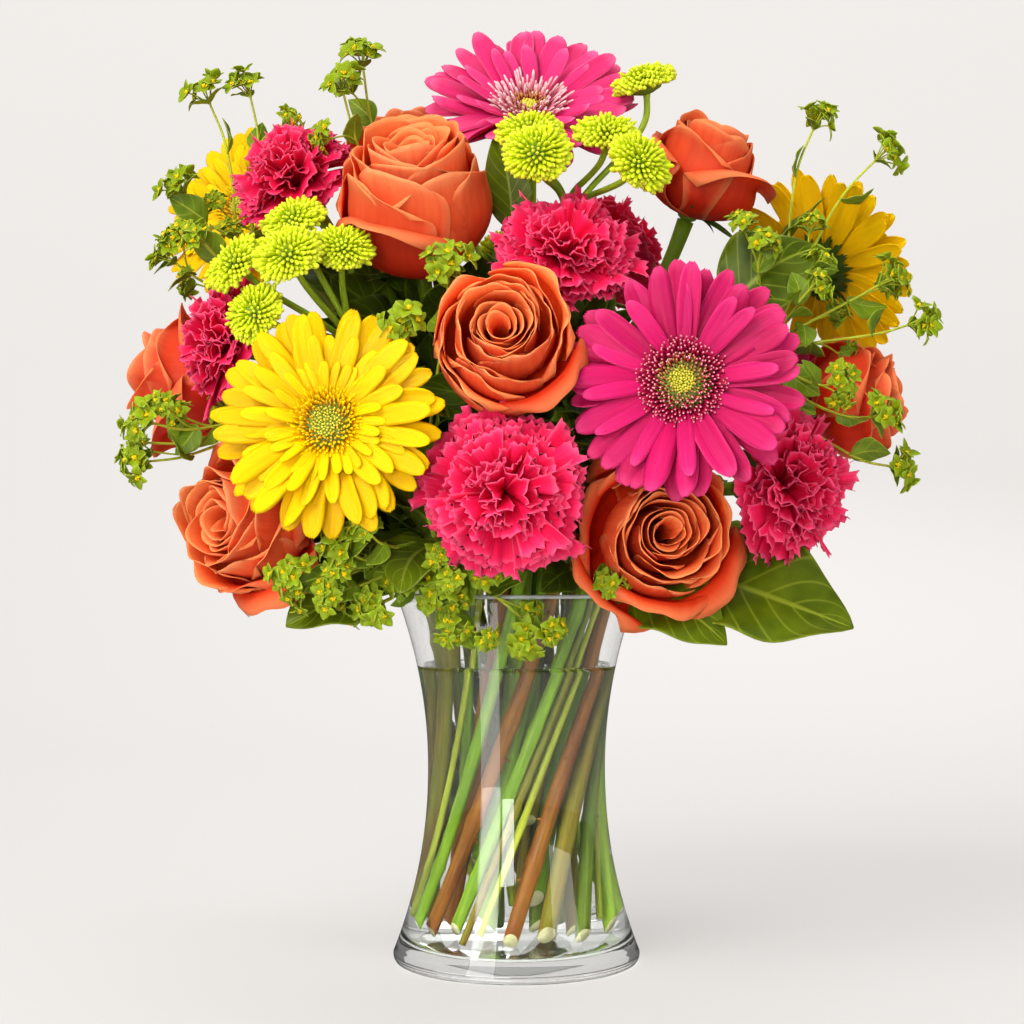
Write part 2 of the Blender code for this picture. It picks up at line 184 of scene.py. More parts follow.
def quills(part, bases, heads, lengths, radii, profile, sides, curl, rng, look=0):
    # many small tubes at once: profile is (share of the length, share of the radius)
    n = len(bases)
    heads = heads / np.linalg.norm(heads, axis=1)[:, None]
    side = np.cross(heads, rng.normal(size=(n, 3)))
    side /= np.linalg.norm(side, axis=1)[:, None]
    up = np.cross(heads, side)
    share = np.array([p[0] for p in profile])
    wide = np.array([p[1] for p in profile])
    turn = np.linspace(0, tau, sides, endpoint=False)
    centre = (bases[:, None] + heads[:, None] * (share[None, :, None] * lengths[:, None, None])
              + curl[:, None] * (share[None, :, None]**2 * lengths[:, None, None]))
    ring = (np.cos(turn)[None, None, :, None] * side[:, None, None]
            + np.sin(turn)[None, None, :, None] * up[:, None, None])
    grid = centre[:, :, None] + ring * (wide[None, :, None, None] * radii[:, None, None, None])
    tints = rng.random(n)
    for i in range(n):
        tone = toneOf(share[:, None], 0.5, tints[i], 0, len(profile), sides)
        index = addGrid(part, grid[i], tone, look, wrap=True)
        addFace(part, index[-1, :-1], look)


def petal(part, phi, r0, h0, length, half, lift, twist, cup, ridge, lean, tint, depthAndShade, rows, cols,
          outline, base, axes, look=0, wave=0.0, phase=0.0, notch=0.0):
    # one strap petal: starts at distance r0 and height h0, and rises by the angles in lift
    u = 1 - (1 - np.linspace(0, 1, rows))**1.5
    v = np.linspace(-1, 1, cols)
    angle = lift[0] + (lift[1] - lift[0]) * u
    step = np.diff(u, prepend=0)
    r = r0 + length * np.cumsum(np.cos(angle) * step)
    h = h0 + length * np.cumsum(np.sin(angle) * step)
    out = np.array([math.cos(phi), math.sin(phi), 0.0])
    tang = np.array([-math.sin(phi), math.cos(phi), 0.0])
    normal = -out * np.sin(angle)[:, None] + upward * np.cos(angle)[:, None]
    t = (twist * u)[:, None]
    side = tang * np.cos(t) + normal * np.sin(t)
    normal = normal * np.cos(t) - tang * np.sin(t)
    wide = (half * outline(u))[:, None]
    fold = cup * half * v[None]**2 + ridge * np.cos(3 * math.pi * v)[None] * (1 - 0.4 * u[:, None])
    fold = fold + wave * half * np.sin(3.1 * u[:, None] * math.pi + phase + 1.3 * v[None])
    mid = out * r[:, None] + upward * h[:, None] + tang * (lean * half * u**2)[:, None]
    back = notch * length * (1 - np.cos(3 * math.pi * v)) / 2 * np.clip((u - 0.8) / 0.2, 0, 1)[:, None]**2
    grid = (mid[:, None] + side[:, None] * (wide * v[None])[..., None]
            + normal[:, None] * (fold * wide / half)[..., None] - out * back[..., None])
    tone = toneOf(u[:, None], np.abs(v)[None], tint, depthAndShade, rows, cols)
    addGrid(part, placed(grid, base, axes), tone, look)


def rayOutline(u):
    rise = 0.5 + 0.5 * np.sin(np.clip(u / 0.55, 0, 1) * math.pi / 2)
    return rise * np.sqrt(np.clip(1 - np.clip((u - 0.7) / 0.31, 0, 1)**2.1, 0.0, 1))


def pointedOutline(u):
    return (0.5 + 0.5 * np.sin(np.clip(u / 0.4, 0, 1) * math.pi / 2)) * np.clip(1 - u**2.2, 0.0, 1)


def leafOutline(u):
    return np.sin(math.pi * np.clip(u, 0, 1)**0.8)**0.85 + 0.015


def newLook(name, roughness=0.5, colour=(0.5, 0.5, 0.5), subsurface=0.0, glow=(1.0, 0.4, 0.2),
            ior=1.45, gloss=0.3):
    # glow is how far red, green and blue light spread under the skin
    look = bpy.data.materials.new(name)
    look.use_nodes = True
    tree = look.node_tree
    shader = tree.nodes["Principled BSDF"]
    shader.inputs["Base Color"].default_value = (*colour, 1)
    shader.inputs["Roughness"].default_value = roughness
    shader.inputs["IOR"].default_value = ior
    shader.inputs["Specular IOR Level"].default_value = gloss
    if subsurface:
        shader.inputs["Subsurface Weight"].default_value = subsurface
        shader.inputs["Subsurface Radius"].default_value = glow
        shader.inputs["Subsurface Scale"].default_value = 0.003
    return look, tree, shader


def node(tree, kind, **values):
    made = tree.nodes.new(kind)
    for key, value in values.items():
        if hasattr(made, key):
            setattr(made, key, value)
        else:
            made.inputs[key.replace("_", " ")].default_value = value
    return made


def ramp(tree, stops, source):
    made = tree.nodes.new("ShaderNodeValToRGB")
    line = made.color_ramp
    while len(line.elements) < len(stops):
        line.elements.new(0.5)
    for element, (place, colour) in zip(line.elements, stops):
        element.position = place
        element.color = (*colour, 1)
    tree.links.new(source, made.inputs["Fac"])
    return made.outputs["Color"]


def mixed(tree, share, first, second, blend="MIX"):
    made = tree.nodes.new("ShaderNodeMix")
    made.data_type = "RGBA"
    made.blend_type = blend
    for socket, value in ((made.inputs[0], share), (made.inputs[6], first), (made.inputs[7], second)):
        if isinstance(value, bpy.types.NodeSocket):
            tree.links.new(value, socket)
        else:
            socket.default_value = value if isinstance(value, float) else (*value, 1)
    return made.outputs[2]


def ranged(tree, source, low, high, least=0.0, most=1.0):
    made = tree.nodes.new("ShaderNodeMapRange")
    tree.links.new(source, made.inputs["Value"])
    for key, value in (("From Min", low), ("From Max", high), ("To Min", least), ("To Max", most)):
        made.inputs[key].default_value = value
    return made.outputs[0]


def toneSockets(tree):
    read = node(tree, "ShaderNodeAttribute", attribute_name="tone")
    split = node(tree, "ShaderNodeSeparateColor")
    tree.links.new(read.outputs["Color"], split.inputs[0])
    return split.outputs[0], split.outputs[1], split.outputs[2], read.outputs["Alpha"]


def stripes(tree, along, across, tint, acrossScale, alongScale, detail=3.0):
    # noise drawn out along the petal, leaf or stem
    spots = node(tree, "ShaderNodeCombineXYZ")
    for socket, source, scale in ((0, along, alongScale), (1, across, acrossScale), (2, tint, 37.0)):
        times = node(tree, "ShaderNodeMath", operation="MULTIPLY")
        tree.links.new(source, times.inputs[0])
        times.inputs[1].default_value = scale
        tree.links.new(times.outputs[0], spots.inputs[socket])
    grain = node(tree, "ShaderNodeTexNoise", Scale=1.0, Detail=detail, Roughness=0.6)
    tree.links.new(spots.outputs[0], grain.inputs["Vector"])
    return grain.outputs["Fac"]


def bumped(tree, shader, height, strength, distance=0.0006):
    bump = node(tree, "ShaderNodeBump", Strength=strength, Distance=distance)
    tree.links.new(height, bump.inputs["Height"])
    tree.links.new(bump.outputs["Normal"], shader.inputs["Normal"])


def petalLook(name, stops, deepAndShade, edge=None, edgeFrom=0.86, edgeShare=0.7, vein=0.25, veinScale=9.0, **rest):
    # the colour from base to tip, streaks along it, a deeper tone from depth that is painted shade low in the
    # head and the real red of outer rose petals, and a pale rim
    look, tree, shader = newLook(name, **rest)
    along, across, tint, depthAndShade = toneSockets(tree)
    colour = ramp(tree, stops, along)
    grain = stripes(tree, along, across, tint, veinScale, 1.6)
    colour = mixed(tree, ranged(tree, grain, 0.35, 0.7, 0.0, vein), colour, deepAndShade)
    # depth pulls the colour toward the deep one: painted shade, except on the really red outer rose petals
    colour = mixed(tree, ranged(tree, depthAndShade, 0.0, 1.0, 0.0, 0.8), colour, deepAndShade)
    shade = ramp(tree, [(0.0, (0.82, 0.8, 0.8)), (1.0, (1.0, 1.0, 1.0))], tint)
    colour = mixed(tree, 1.0, colour, shade, "MULTIPLY")
    if edge:
        rim = node(tree, "ShaderNodeMath", operation="MAXIMUM")
        tree.links.new(along, rim.inputs[0])
        tree.links.new(across, rim.inputs[1])
        colour = mixed(tree, ranged(tree, rim.outputs[0], edgeFrom, 1.0, 0.0, edgeShare), colour, edge)
    tree.links.new(colour, shader.inputs["Base Color"])
    bumped(tree, shader, grain, 0.35)
    return look


def bodyLook(name, stops, spots=0.3, scale=260.0, **rest):
    # a body coloured along its length, with fine mottling
    look, tree, shader = newLook(name, **rest)
    along = toneSockets(tree)[0]
    colour = ramp(tree, stops, along)
    place = node(tree, "ShaderNodeTexCoord")
    grain = node(tree, "ShaderNodeTexNoise", Scale=scale, Detail=4.0, Roughness=0.6)
    tree.links.new(place.outputs["Object"], grain.inputs["Vector"])
    dark = mixed(tree, 1.0, colour, (0.55, 0.55, 0.5), "MULTIPLY")
    colour = mixed(tree, ranged(tree, grain.outputs["Fac"], 0.35, 0.7, 0.0, spots), colour, dark)
    tree.links.new(colour, shader.inputs["Base Color"])
    bumped(tree, shader, grain.outputs["Fac"], 0.3)
    return look


def stemLook(name, low, high, flecks, fleckShare=0.5, **rest):
    # skin that changes from foot to head, with streaks along it
    look, tree, shader = newLook(name, **rest)
    along, across, tint = toneSockets(tree)[:3]
    colour = mixed(tree, along, low, high)
    streak = stripes(tree, along, across, tint, 14.0, 9.0, 4.0)
    colour = mixed(tree, ranged(tree, streak, 0.47, 0.62, 0.0, fleckShare), colour, flecks)
    broad = stripes(tree, along, across, tint, 2.0, 5.0, 2.0)
    colour = mixed(tree, ranged(tree, broad, 0.4, 0.75, 0.0, 0.5), colour,
                   tuple(min(1.0, c * 1.7) for c in high))
    tree.links.new(colour, shader.inputs["Base Color"])
    bumped(tree, shader, streak, 0.4)
    return look


def leafLook(name, dark, light, rib, veins=13.0, veinShare=0.45, **rest):
    # midrib, side veins that run forward from it, and blotchy green between
    look, tree, shader = newLook(name, **rest)
    along, across, tint = toneSockets(tree)[:3]
    place = node(tree, "ShaderNodeTexCoord")
    cloud = node(tree, "ShaderNodeTexNoise", Scale=70.0, Detail=4.0)
    tree.links.new(place.outputs["Object"], cloud.inputs["Vector"])
    colour = mixed(tree, ranged(tree, cloud.outputs["Fac"], 0.35, 0.68), dark, light)
    colour = mixed(tree, ranged(tree, tint, 0.0, 1.0, 0.0, 0.35), colour, light)
    slant = node(tree, "ShaderNodeMath", operation="MULTIPLY_ADD")
    tree.links.new(across, slant.inputs[0])
    slant.inputs[1].default_value = -0.32
    tree.links.new(along, slant.inputs[2])
    beat = node(tree, "ShaderNodeMath", operation="MULTIPLY")
    tree.links.new(slant.outputs[0], beat.inputs[0])
    beat.inputs[1].default_value = veins * math.pi
    wave = node(tree, "ShaderNodeMath", operation="SINE")
    tree.links.new(beat.outputs[0], wave.inputs[0])
    vein = ranged(tree, wave.outputs[0], 0.86, 1.0)
    middle = ranged(tree, across, 0.07, 0.015)
    lines = node(tree, "ShaderNodeMath", operation="MAXIMUM")
    tree.links.new(vein, lines.inputs[0])
    tree.links.new(middle, lines.inputs[1])
    colour = mixed(tree, ranged(tree, vein, 0.0, 1.0, 0.0, veinShare), colour, rib)
    colour = mixed(tree, ranged(tree, middle, 0.0, 1.0, 0.0, 0.85), colour, rib)
    colour = mixed(tree, ranged(tree, across, 0.93, 1.0, 0.0, 0.6), colour, rib)
    tree.links.new(colour, shader.inputs["Base Color"])
    bumped(tree, shader, lines.outputs[0], -0.35, 0.0005)
    return look


# colours run from base to tip; the deep colour is painted shade low in the head, and also the real red of
# outer rose petals and of the streaks; edge the colour of the rim
petalLooks = {
    "pinkRay": dict(
        stops=[(0.0, (0.36, 0.001, 0.05)), (0.35, (0.6, 0.006, 0.12)), (1.0, (0.72, 0.018, 0.18))],
        deepAndShade=(0.36, 0.001, 0.04), edge=(0.9, 0.09, 0.28), edgeShare=0.35, vein=0.4, roughness=0.5,
        gloss=0.2, subsurface=0.15, glow=(1.0, 0.2, 0.3)),
    "pinkPale": dict(
        stops=[(0.0, (0.6, 0.01, 0.12)), (0.4, (0.76, 0.025, 0.17)), (1.0, (0.84, 0.05, 0.22))],
        deepAndShade=(0.45, 0.002, 0.06), edge=(0.93, 0.2, 0.4), edgeShare=0.45, roughness=0.5, gloss=0.2,
        subsurface=0.15, glow=(1.0, 0.2, 0.3)),
    "yellowRay": dict(
        stops=[(0.0, (0.78, 0.3, 0.0)), (0.3, (0.84, 0.5, 0.0)), (1.0, (0.88, 0.65, 0.0))],
        deepAndShade=(0.8, 0.38, 0.0), roughness=0.5, vein=0.3, subsurface=0.15, glow=(1.0, 0.6, 0.1),
        gloss=0.15),
    "yellowBack": dict(
        stops=[(0.0, (0.66, 0.4, 0.0)), (0.4, (0.9, 0.56, 0.0)), (1.0, (0.95, 0.7, 0.0))],
        deepAndShade=(0.85, 0.42, 0.0), roughness=0.55, gloss=0.15, subsurface=0.15, glow=(1.0, 0.6, 0.1)),
    "crimsonFloret": dict(
        stops=[(0.0, (0.16, 0.0, 0.012)), (0.7, (0.36, 0.001, 0.04)), (0.94, (0.5, 0.02, 0.07)),
               (1.0, (0.88, 0.4, 0.46))],
        deepAndShade=(0.2, 0.0, 0.015), roughness=0.5),
    "paleFloret": dict(
        stops=[(0.0, (0.5, 0.02, 0.1)), (0.5, (0.8, 0.22, 0.32)), (1.0, (0.95, 0.76, 0.74))],
        deepAndShade=(0.5, 0.02, 0.08), roughness=0.5),
    "beigeFloret": dict(
        stops=[(0.0, (0.2, 0.004, 0.015)), (0.6, (0.42, 0.06, 0.035)), (1.0, (0.66, 0.36, 0.12))],
        deepAndShade=(0.3, 0.03, 0.02), roughness=0.6),
    "goldFloret": dict(
        stops=[(0.0, (0.5, 0.16, 0.0)), (0.6, (0.85, 0.38, 0.001)), (1.0, (0.95, 0.66, 0.01))],
        deepAndShade=(0.5, 0.14, 0.0), roughness=0.6),
    "rosePetal": dict(
        stops=[(0.0, (0.84, 0.02, 0.001)), (0.5, (0.97, 0.1, 0.014)), (0.82, (0.99, 0.17, 0.036)),
               (1.0, (0.99, 0.28, 0.085))],
        deepAndShade=(0.66, 0.004, 0.001), edge=(0.99, 0.36, 0.13), edgeFrom=0.84, edgeShare=0.4, vein=0.25,
        roughness=0.5, subsurface=0.25, glow=(1.0, 0.35, 0.12), gloss=0.15),
    "roseBack": dict(
        stops=[(0.0, (0.78, 0.022, 0.005)), (0.4, (0.94, 0.085, 0.02)), (0.8, (0.98, 0.16, 0.048)),
               (1.0, (0.99, 0.29, 0.11))],
        deepAndShade=(0.6, 0.003, 0.002), edge=(0.99, 0.38, 0.15), edgeFrom=0.86, edgeShare=0.4, vein=0.3,
        roughness=0.5, subsurface=0.25, glow=(1.0, 0.35, 0.12), gloss=0.15),
    "carnationPetal": dict(
        stops=[(0.0, (0.56, 0.0, 0.02)), (0.5, (0.82, 0.004, 0.055)), (0.85, (0.92, 0.014, 0.1)),
               (1.0, (0.96, 0.05, 0.175))],
        deepAndShade=(0.55, 0.0, 0.015), edge=(0.98, 0.2, 0.34), edgeFrom=0.92, edgeShare=0.3, vein=0.4,
        veinScale=16.0, roughness=0.55, subsurface=0.12, glow=(1.0, 0.2, 0.3), gloss=0.1),
    "pomponPetal": dict(
        stops=[(0.0, (0.26, 0.38, 0.002)), (0.5, (0.5, 0.64, 0.003)), (0.85, (0.66, 0.76, 0.01)),
               (1.0, (0.8, 0.86, 0.06))],
        deepAndShade=(0.45, 0.6, 0.003), roughness=0.5, vein=0.15, gloss=0.2),
    "bract": dict(
        stops=[(0.0, (0.5, 0.5, 0.004)), (0.5, (0.24, 0.35, 0.006)), (1.0, (0.34, 0.45, 0.02))],
        deepAndShade=(0.14, 0.22, 0.003), edge=(0.52, 0.62, 0.08), edgeFrom=0.88, edgeShare=0.4, roughness=0.45,
        gloss=0.2),
    "umbelBud": dict(
        stops=[(0.0, (0.35, 0.4, 0.005)), (0.6, (0.7, 0.6, 0.004)), (1.0, (0.85, 0.6, 0.004))],
        deepAndShade=(0.3, 0.3, 0.005), roughness=0.5),
    "darkBract": dict(
        stops=[(0.0, (0.05, 0.1, 0.004)), (0.6, (0.04, 0.085, 0.004)), (1.0, (0.1, 0.13, 0.02))],
        deepAndShade=(0.03, 0.05, 0.003), roughness=0.5),
}

# colours run along the length
bodyLooks = {
    "greenEye": dict(
        stops=[(0.0, (0.3, 0.32, 0.01)), (0.5, (0.55, 0.5, 0.02)), (1.0, (0.72, 0.66, 0.08))],
        spots=0.4, scale=900.0, roughness=0.6),
    "calyx": dict(stops=[(0.0, (0.11, 0.19, 0.015)), (1.0, (0.18, 0.28, 0.025))], roughness=0.5),
    "cutEnd": dict(
        stops=[(0.0, (0.72, 0.68, 0.36)), (1.0, (0.8, 0.76, 0.42))],
        spots=0.5, scale=700.0, roughness=0.7),
}

# low at the foot, high at the head, flecks in streaks between
stemSkins = {
    "greenStem": dict(
        low=(0.13, 0.26, 0.005), high=(0.16, 0.3, 0.008), flecks=(0.3, 0.42, 0.03), roughness=0.4),
    "paleStem": dict(
        low=(0.26, 0.42, 0.015), high=(0.3, 0.44, 0.02), flecks=(0.1, 0.2, 0.006), roughness=0.4),
    "oliveStem": dict(
        low=(0.17, 0.075, 0.003), high=(0.12, 0.2, 0.006), flecks=(0.28, 0.2, 0.01), fleckShare=0.6,
        roughness=0.42),
    "mossStem": dict(
        low=(0.06, 0.09, 0.003), high=(0.1, 0.17, 0.006), flecks=(0.2, 0.24, 0.012), fleckShare=0.6,
        roughness=0.42),
    "brownStem": dict(
        low=(0.2, 0.045, 0.002), high=(0.26, 0.12, 0.006), flecks=(0.06, 0.012, 0.002), fleckShare=0.75,
        roughness=0.36),
    "thinStem": dict(
        low=(0.26, 0.34, 0.015), high=(0.42, 0.48, 0.03), flecks=(0.3, 0.2, 0.015), roughness=0.45),
}

# dark and light patches, and the colour of the veins
leafLooks = {
    "glossLeaf": dict(
        dark=(0.04, 0.065, 0.001), light=(0.1, 0.145, 0.002), rib=(0.24, 0.3, 0.02), roughness=0.38,
        gloss=0.3),
    "roseLeaf": dict(
        dark=(0.02, 0.042, 0.0015), light=(0.055, 0.095, 0.003), rib=(0.13, 0.19, 0.012), veins=9.0,
        roughness=0.45, gloss=0.25),
    "roundLeaf": dict(
        dark=(0.08, 0.15, 0.004), light=(0.2, 0.3, 0.012), rib=(0.42, 0.5, 0.06), veins=7.0,
        veinShare=0.3, roughness=0.45),
}

looks = {}
recipes = ((petalLook, petalLooks), (bodyLook, bodyLooks), (stemLook, stemSkins), (leafLook, leafLooks))
for maker, own in recipes:
    for name, recipe in own.items():
        looks[name] = maker(name, **recipe)
print("finishes ready:", len(looks))


# from here on places and sizes are in millimetres; directions are (azimuth, elevation) in degrees
vaseShape = dict(height=184.0, foot=61.5, waist=44.2, mouth=60.5, waistAt=97.0, wall=3.0, floor=9.0,
                 footEdge=5.0, water=147.0, spiral=-95.0, footSpread=0.95)

# kind, colour, centre, facing, radius, slot at the mouth (distance, azimuth), height of the foot
flowers = {
    "gerbera_1": ("gerbera", "pink", (72, -128, 280), (-104, 6), 54, (30, -62), 46),
    "gerbera_2": ("gerbera", "yellow", (-84, -128, 262), (-99, 10), 53, (46, -134), 13),
    "gerbera_3": ("gerbera", "pink", (6, -2, 428), (-90, 42), 54, (14, -78), 13),
    "gerbera_4": ("gerbera", "yellow", (-144, 44, 386), (-122, 26), 52, (30, 140), 13),
    "gerbera_5": ("gerbera", "yellow", (160, 36, 352), (50, 22), 52, (30, 10), 30),
    "gerbera_6": ("gerbera", "pink", (152, 94, 280), (26, 10), 46, (46, 18), 15),
    "gerbera_7": ("gerbera", "yellow", (-40, 140, 300), (100, 22), 53, (46, 80), 13),
    "rose_1": ("rose", "coral", (-48, -52, 370), (-96, 52), 36, (14, -140), 13),
    "rose_2": ("rose", "coral", (-7, -126, 301), (-92, 14), 29.5, (30, -104), 13),
    "rose_3": ("rose", "coral", (-130, -74, 218), (-130, 4), 33, (46, -156), 60),
    "rose_4": ("rose", "coral", (66, -92, 213), (-78, 2), 33, (46, -68), 13),
    "rose_5": ("rose", "coral", (94, -4, 397), (-40, 66), 29, (14, 42), 14),
    "rose_6": ("rose", "coral", (172, -14, 280), (-12, 12), 27.5, (46, -5), 13),
    "rose_7": ("rose", "coral", (-168, 0, 292), (-174, 12), 30, (46, 164), 13),
    "rose_8": ("rose", "coral", (-60, 25, 409), (130, 62), 26, (14, 120), 13),
    "rose_9": ("rose", "coral", (60, 128, 262), (66, 14), 33, (46, 46), 13),
    "carnation_1": ("carnation", "hotPink", (-6, -130, 231), (-92, 0), 36, (46, -90), 13),
    "carnation_2": ("carnation", "hotPink", (24, -77, 351), (-80, 46), 34, (30, -16), 70),
    "carnation_3": ("carnation", "hotPink", (-114, -24, 394), (-130, 42), 32, (30, 168), 80),
    "carnation_4": ("carnation", "hotPink", (-143, -66, 305), (-156, 12), 31, (46, -179), 30),
    "carnation_5": ("carnation", "hotPink", (136, -70, 236), (-34, 2), 36, (46, -46), 17),
    "carnation_6": ("carnation", "hotPink", (48, 84, 372), (62, 48), 34, (30, 60), 13),
    "carnation_7": ("carnation", "hotPink", (-112, 104, 262), (138, 10), 34, (46, 122), 13),
}
stemRadius = {"gerbera": 4.2, "rose": 3.6, "carnation": 2.9}
middleShare = {"gerbera": 0.27, "rose": 1.0, "carnation": 1.08}

# slot, height of the foot, fork, then for each tip: place, facing, (size,) distance below the fork
sprays = {
    "pompon_spray_1": ((30, -132), 40, (-74, -60, 300), [
        ((-104, -76, 359), (-120, 50), 15, 2), ((-130, -88, 337), (-140, 35), 15, 12),
        ((-103, -106, 339), (-110, 40), 15.5, 8), ((-79, -92, 344), (-80, 45), 14, 5),
        ((-119, -101, 313), (-125, 20), 14, 18)]),
    "pompon_spray_2": ((14, -34), 55, (24, -14, 374), [
        ((6, -60, 404), (-100, 60), 15.5, 2), ((9, -83, 389), (-95, 30), 15.5, 7),
        ((43, -58, 403), (-80, 60), 15.5, 4.5), ((58, -74, 386), (-60, 30), 15.5, 12),
        ((62, -20, 436), (-140, 68), 15, 16)]),
    "pompon_spray_3": ((30, 100), 20, (-4, 62, 314), [
        ((-6, 108, 368), (95, 45), 15.5, 2), ((20, 124, 338), (75, 25), 15.5, 8),
        ((-30, 86, 396), (110, 60), 15, 5)]),
}
sprigs = {
    "bupleurum_sprig_1": ((46, -112), 16, (-32, -64, 200), [
        ((-76, -112, 206), (-120, 30), 4), ((-100, -101, 194), (-130, 10), 2),
        ((-62, -97, 181), (-120, -10), 7), ((-36, -92, 186), (-105, 0), 10), ((6, -76, 166), (-90, -30), 13),
        ((-50, -118, 304), (-100, 20), 1), ((-31, -104, 333), (-90, 40), 0.5)]),
    "bupleurum_sprig_2": ((46, -168), 14, (-128, -12, 318), [
        ((-168, -94, 264), (-150, 20), 66), ((-172, -84, 246), (-150, 0), 72),
        ((-166, -40, 345), (-160, 40), 2), ((-164, -22, 382), (-160, 50), 5),
        ((-157, 14, 434), (-160, 60), 8), ((-136, 16, 438), (-150, 70), 12)]),
    "bupleurum_sprig_3": ((46, -26), 18, (118, -34, 300), [
        ((149, -6, 417), (-20, 60), 2), ((181, -4, 401), (-10, 40), 6), ((178, -34, 335), (-20, 30), 10),
        ((190, -44, 314), (-25, 20), 14), ((168, -66, 268), (-30, 10), 24), ((180, -52, 245), (-30, 0), 34)]),
    "bupleurum_sprig_4": ((14, -178), 24, (-48, 1, 322), [
        ((-76, -14, 446), (-110, 75), 2), ((-84, -40, 428), (-110, 60), 8)]),
    "bupleurum_sprig_5": ((46, 64), 22, (12, 84, 256), [
        ((-84, 138, 236), (120, 10), 12), ((4, 164, 244), (90, 10), 16), ((98, 120, 316), (50, 30), 2),
        ((-66, 112, 362), (120, 40), 5)]),
}
# for each leaf: base, tip, width, side it faces, distance below the fork
twigs = {
    "leaf_twig_1": ((46, -36), 13, (50, -33, 192), [
        ((80, -46, 197), (156, -75, 169), 46, (-74, 48), 2),
        ((48, -64, 185), (96, -88, 162), 30, (-74, 32), 5)]),
    "leaf_twig_2": ((30, -160), 13, (-52, -40, 204), [
        ((-66, -66, 194), (-106, -84, 170), 30, (-100, 60), 2),
        ((-36, -84, 208), (-52, -112, 186), 26, (-100, 60), 6)]),
    "leaf_twig_3": ((14, -4), 13, (24, 8, 330), [
        ((-2, -34, 360), (-10, -38, 406), 18, (-95, 5), 2),
        ((100, -40, 318), (144, -46, 350), 34, (-80, 50), 10)]),
    "leaf_twig_4": ((30, 34), 13, (46, 38, 204), [
        ((24, 72, 208), (30, 120, 184), 34, (80, 60), 5),
        ((78, 62, 212), (126, 84, 190), 36, (35, 60), 2)]),
}


def slotAt(slot, z):
    # where the straight part of a stem stands at this height
    distance, azimuth = slot
    top = direction(azimuth) * distance
    foot = direction(azimuth + vaseShape["spiral"]) * distance * vaseShape["footSpread"]
    point = foot + (top - foot) * z / vaseShape["height"]
    return np.array([point[0], point[1], z])


def bend(start, along, end, into, count):
    # an even curve that leaves along one direction and arrives in another
    reach = np.linalg.norm(end - start)
    t = np.linspace(0, 1, count + 1)[1:, None]
    return (start * (1 - 3 * t**2 + 2 * t**3) + along * reach * (t - 2 * t**2 + t**3)
            + end * (3 * t**2 - 2 * t**3) + into * reach * (t**3 - t**2))


def stemPath(slot, footZ, end, into, count=5):
    foot, mouth = slotAt(slot, footZ), slotAt(slot, vaseShape["height"])
    return np.vstack([foot, mouth, bend(mouth, unit(mouth - foot), end - into * 4, into, count), end])


def branchedStem(slot, footZ, fork):
    fork = np.array(fork, float)
    return stemPath(slot, footZ, fork, unit(fork - slotAt(slot, vaseShape["height"])), 4)


def placeBelow(points, drop):
    # the place on a stem this far below its top, and its direction there
    for end, start in zip(points[::-1], points[-2::-1]):
        run = np.linalg.norm(end - start)
        if drop <= run:
            return end + (start - end) * drop / run, (end - start) / run
        drop -= run
    return points[0], unit(points[1] - points[0])


def branchPath(stem, drop, end, forward, count=3):
    start, along = placeBelow(stem, drop)
    return np.vstack([start, bend(start, along, end, forward, count)])


def headPlace(name):
    kind, colour, centre, facing, radius = flowers[name][:5]
    forward = direction(*facing)
    base = np.array(centre, float) - forward * middleShare[kind] * radius
    return base * mm, forward, radius * mm


stemLooks = dict(
    green=("greenStem", "oliveStem", "paleStem", "mossStem"),
    brown=("brownStem",),
    brownRoses=("rose_2", "rose_4", "rose_6", "rose_8"),
    rings=46,
    sides=14,
    slant=1.1,
)


def stemBody(part, path, radius, seed, look=0, endLook=1, knots=0, thorns=False, flare=1.0, taper=0.0,
             slant=0.0):
    # swellings at the knots, and a slanted pale cut at the foot
    rng = np.random.default_rng(seed)
    points = smoothPath(path * mm, stemLooks["rings"])
    share = np.linspace(0, 1, len(points))
    radii = radius * mm * (1 - taper * share) * np.ones(len(points))
    for k in range(knots):
        at = (k + 0.5 + rng.uniform(-0.25, 0.25)) / knots
        radii *= 1 + 0.22 * np.exp(-((share - at) / 0.012)**2)
    radii *= 1 + 0.03 * np.sin(share * rng.uniform(9, 17) + seed)
    radii[-3:] *= np.linspace(1, flare, 3)
    radii[0] *= 0.93
    lumps = 0.02 + 0.02 * np.sin(share * 7 + seed)
    sweep(part, points, radii, stemLooks["sides"], rng.random(), look, startLook=endLook, endLook=look,
          lumps=lumps, slant=slant)
    if thorns:
        count = 7
        spots = rng.uniform(0.1, 0.92, count)
        place = np.stack([np.interp(spots, share, points[:, k]) for k in range(3)], 1)
        ahead = np.stack([np.interp(spots, share, np.gradient(points[:, k])) for k in range(3)], 1)
        ahead /= np.linalg.norm(ahead, axis=1)[:, None]
        out = np.cross(ahead, rng.normal(size=(count, 3)))
        out /= np.linalg.norm(out, axis=1)[:, None]
        quills(part, place + out * radius * mm * 0.7, out - ahead * 0.4, np.full(count, radius * mm * 1.1),
               np.full(count, radius * mm * 0.42), [(0, 1), (0.4, 0.5), (1, 0.03)], 6, np.zeros((count, 3)),
               rng, look)
    return points


def makeStem(name, seed):
    kind = flowers[name][0]
    slot, footZ = flowers[name][5:]
    base, forward = headPlace(name)[:2]
    path = stemPath(slot, footZ, base / mm - forward * 0.3, forward, 10)
    brown = name in stemLooks["brownRoses"]
    pick = stemLooks["brown"] if brown else stemLooks["green"]
    part = newPart()
    stemBody(part, path, stemRadius[kind], seed, knots={"carnation": 4, "rose": 3}.get(kind, 0),
             thorns=kind == "rose", flare=1.15, slant=stemLooks["slant"])
    makePiece(name + "_stem", part, [looks[pick[seed % len(pick)]], looks["cutEnd"]],
              [name + "_stem"])
    return path


stemPaths = {}
for seed, name in enumerate(flowers):
    stemPaths[name] = makeStem(name, seed)
print("stems made:", len(stemPaths))
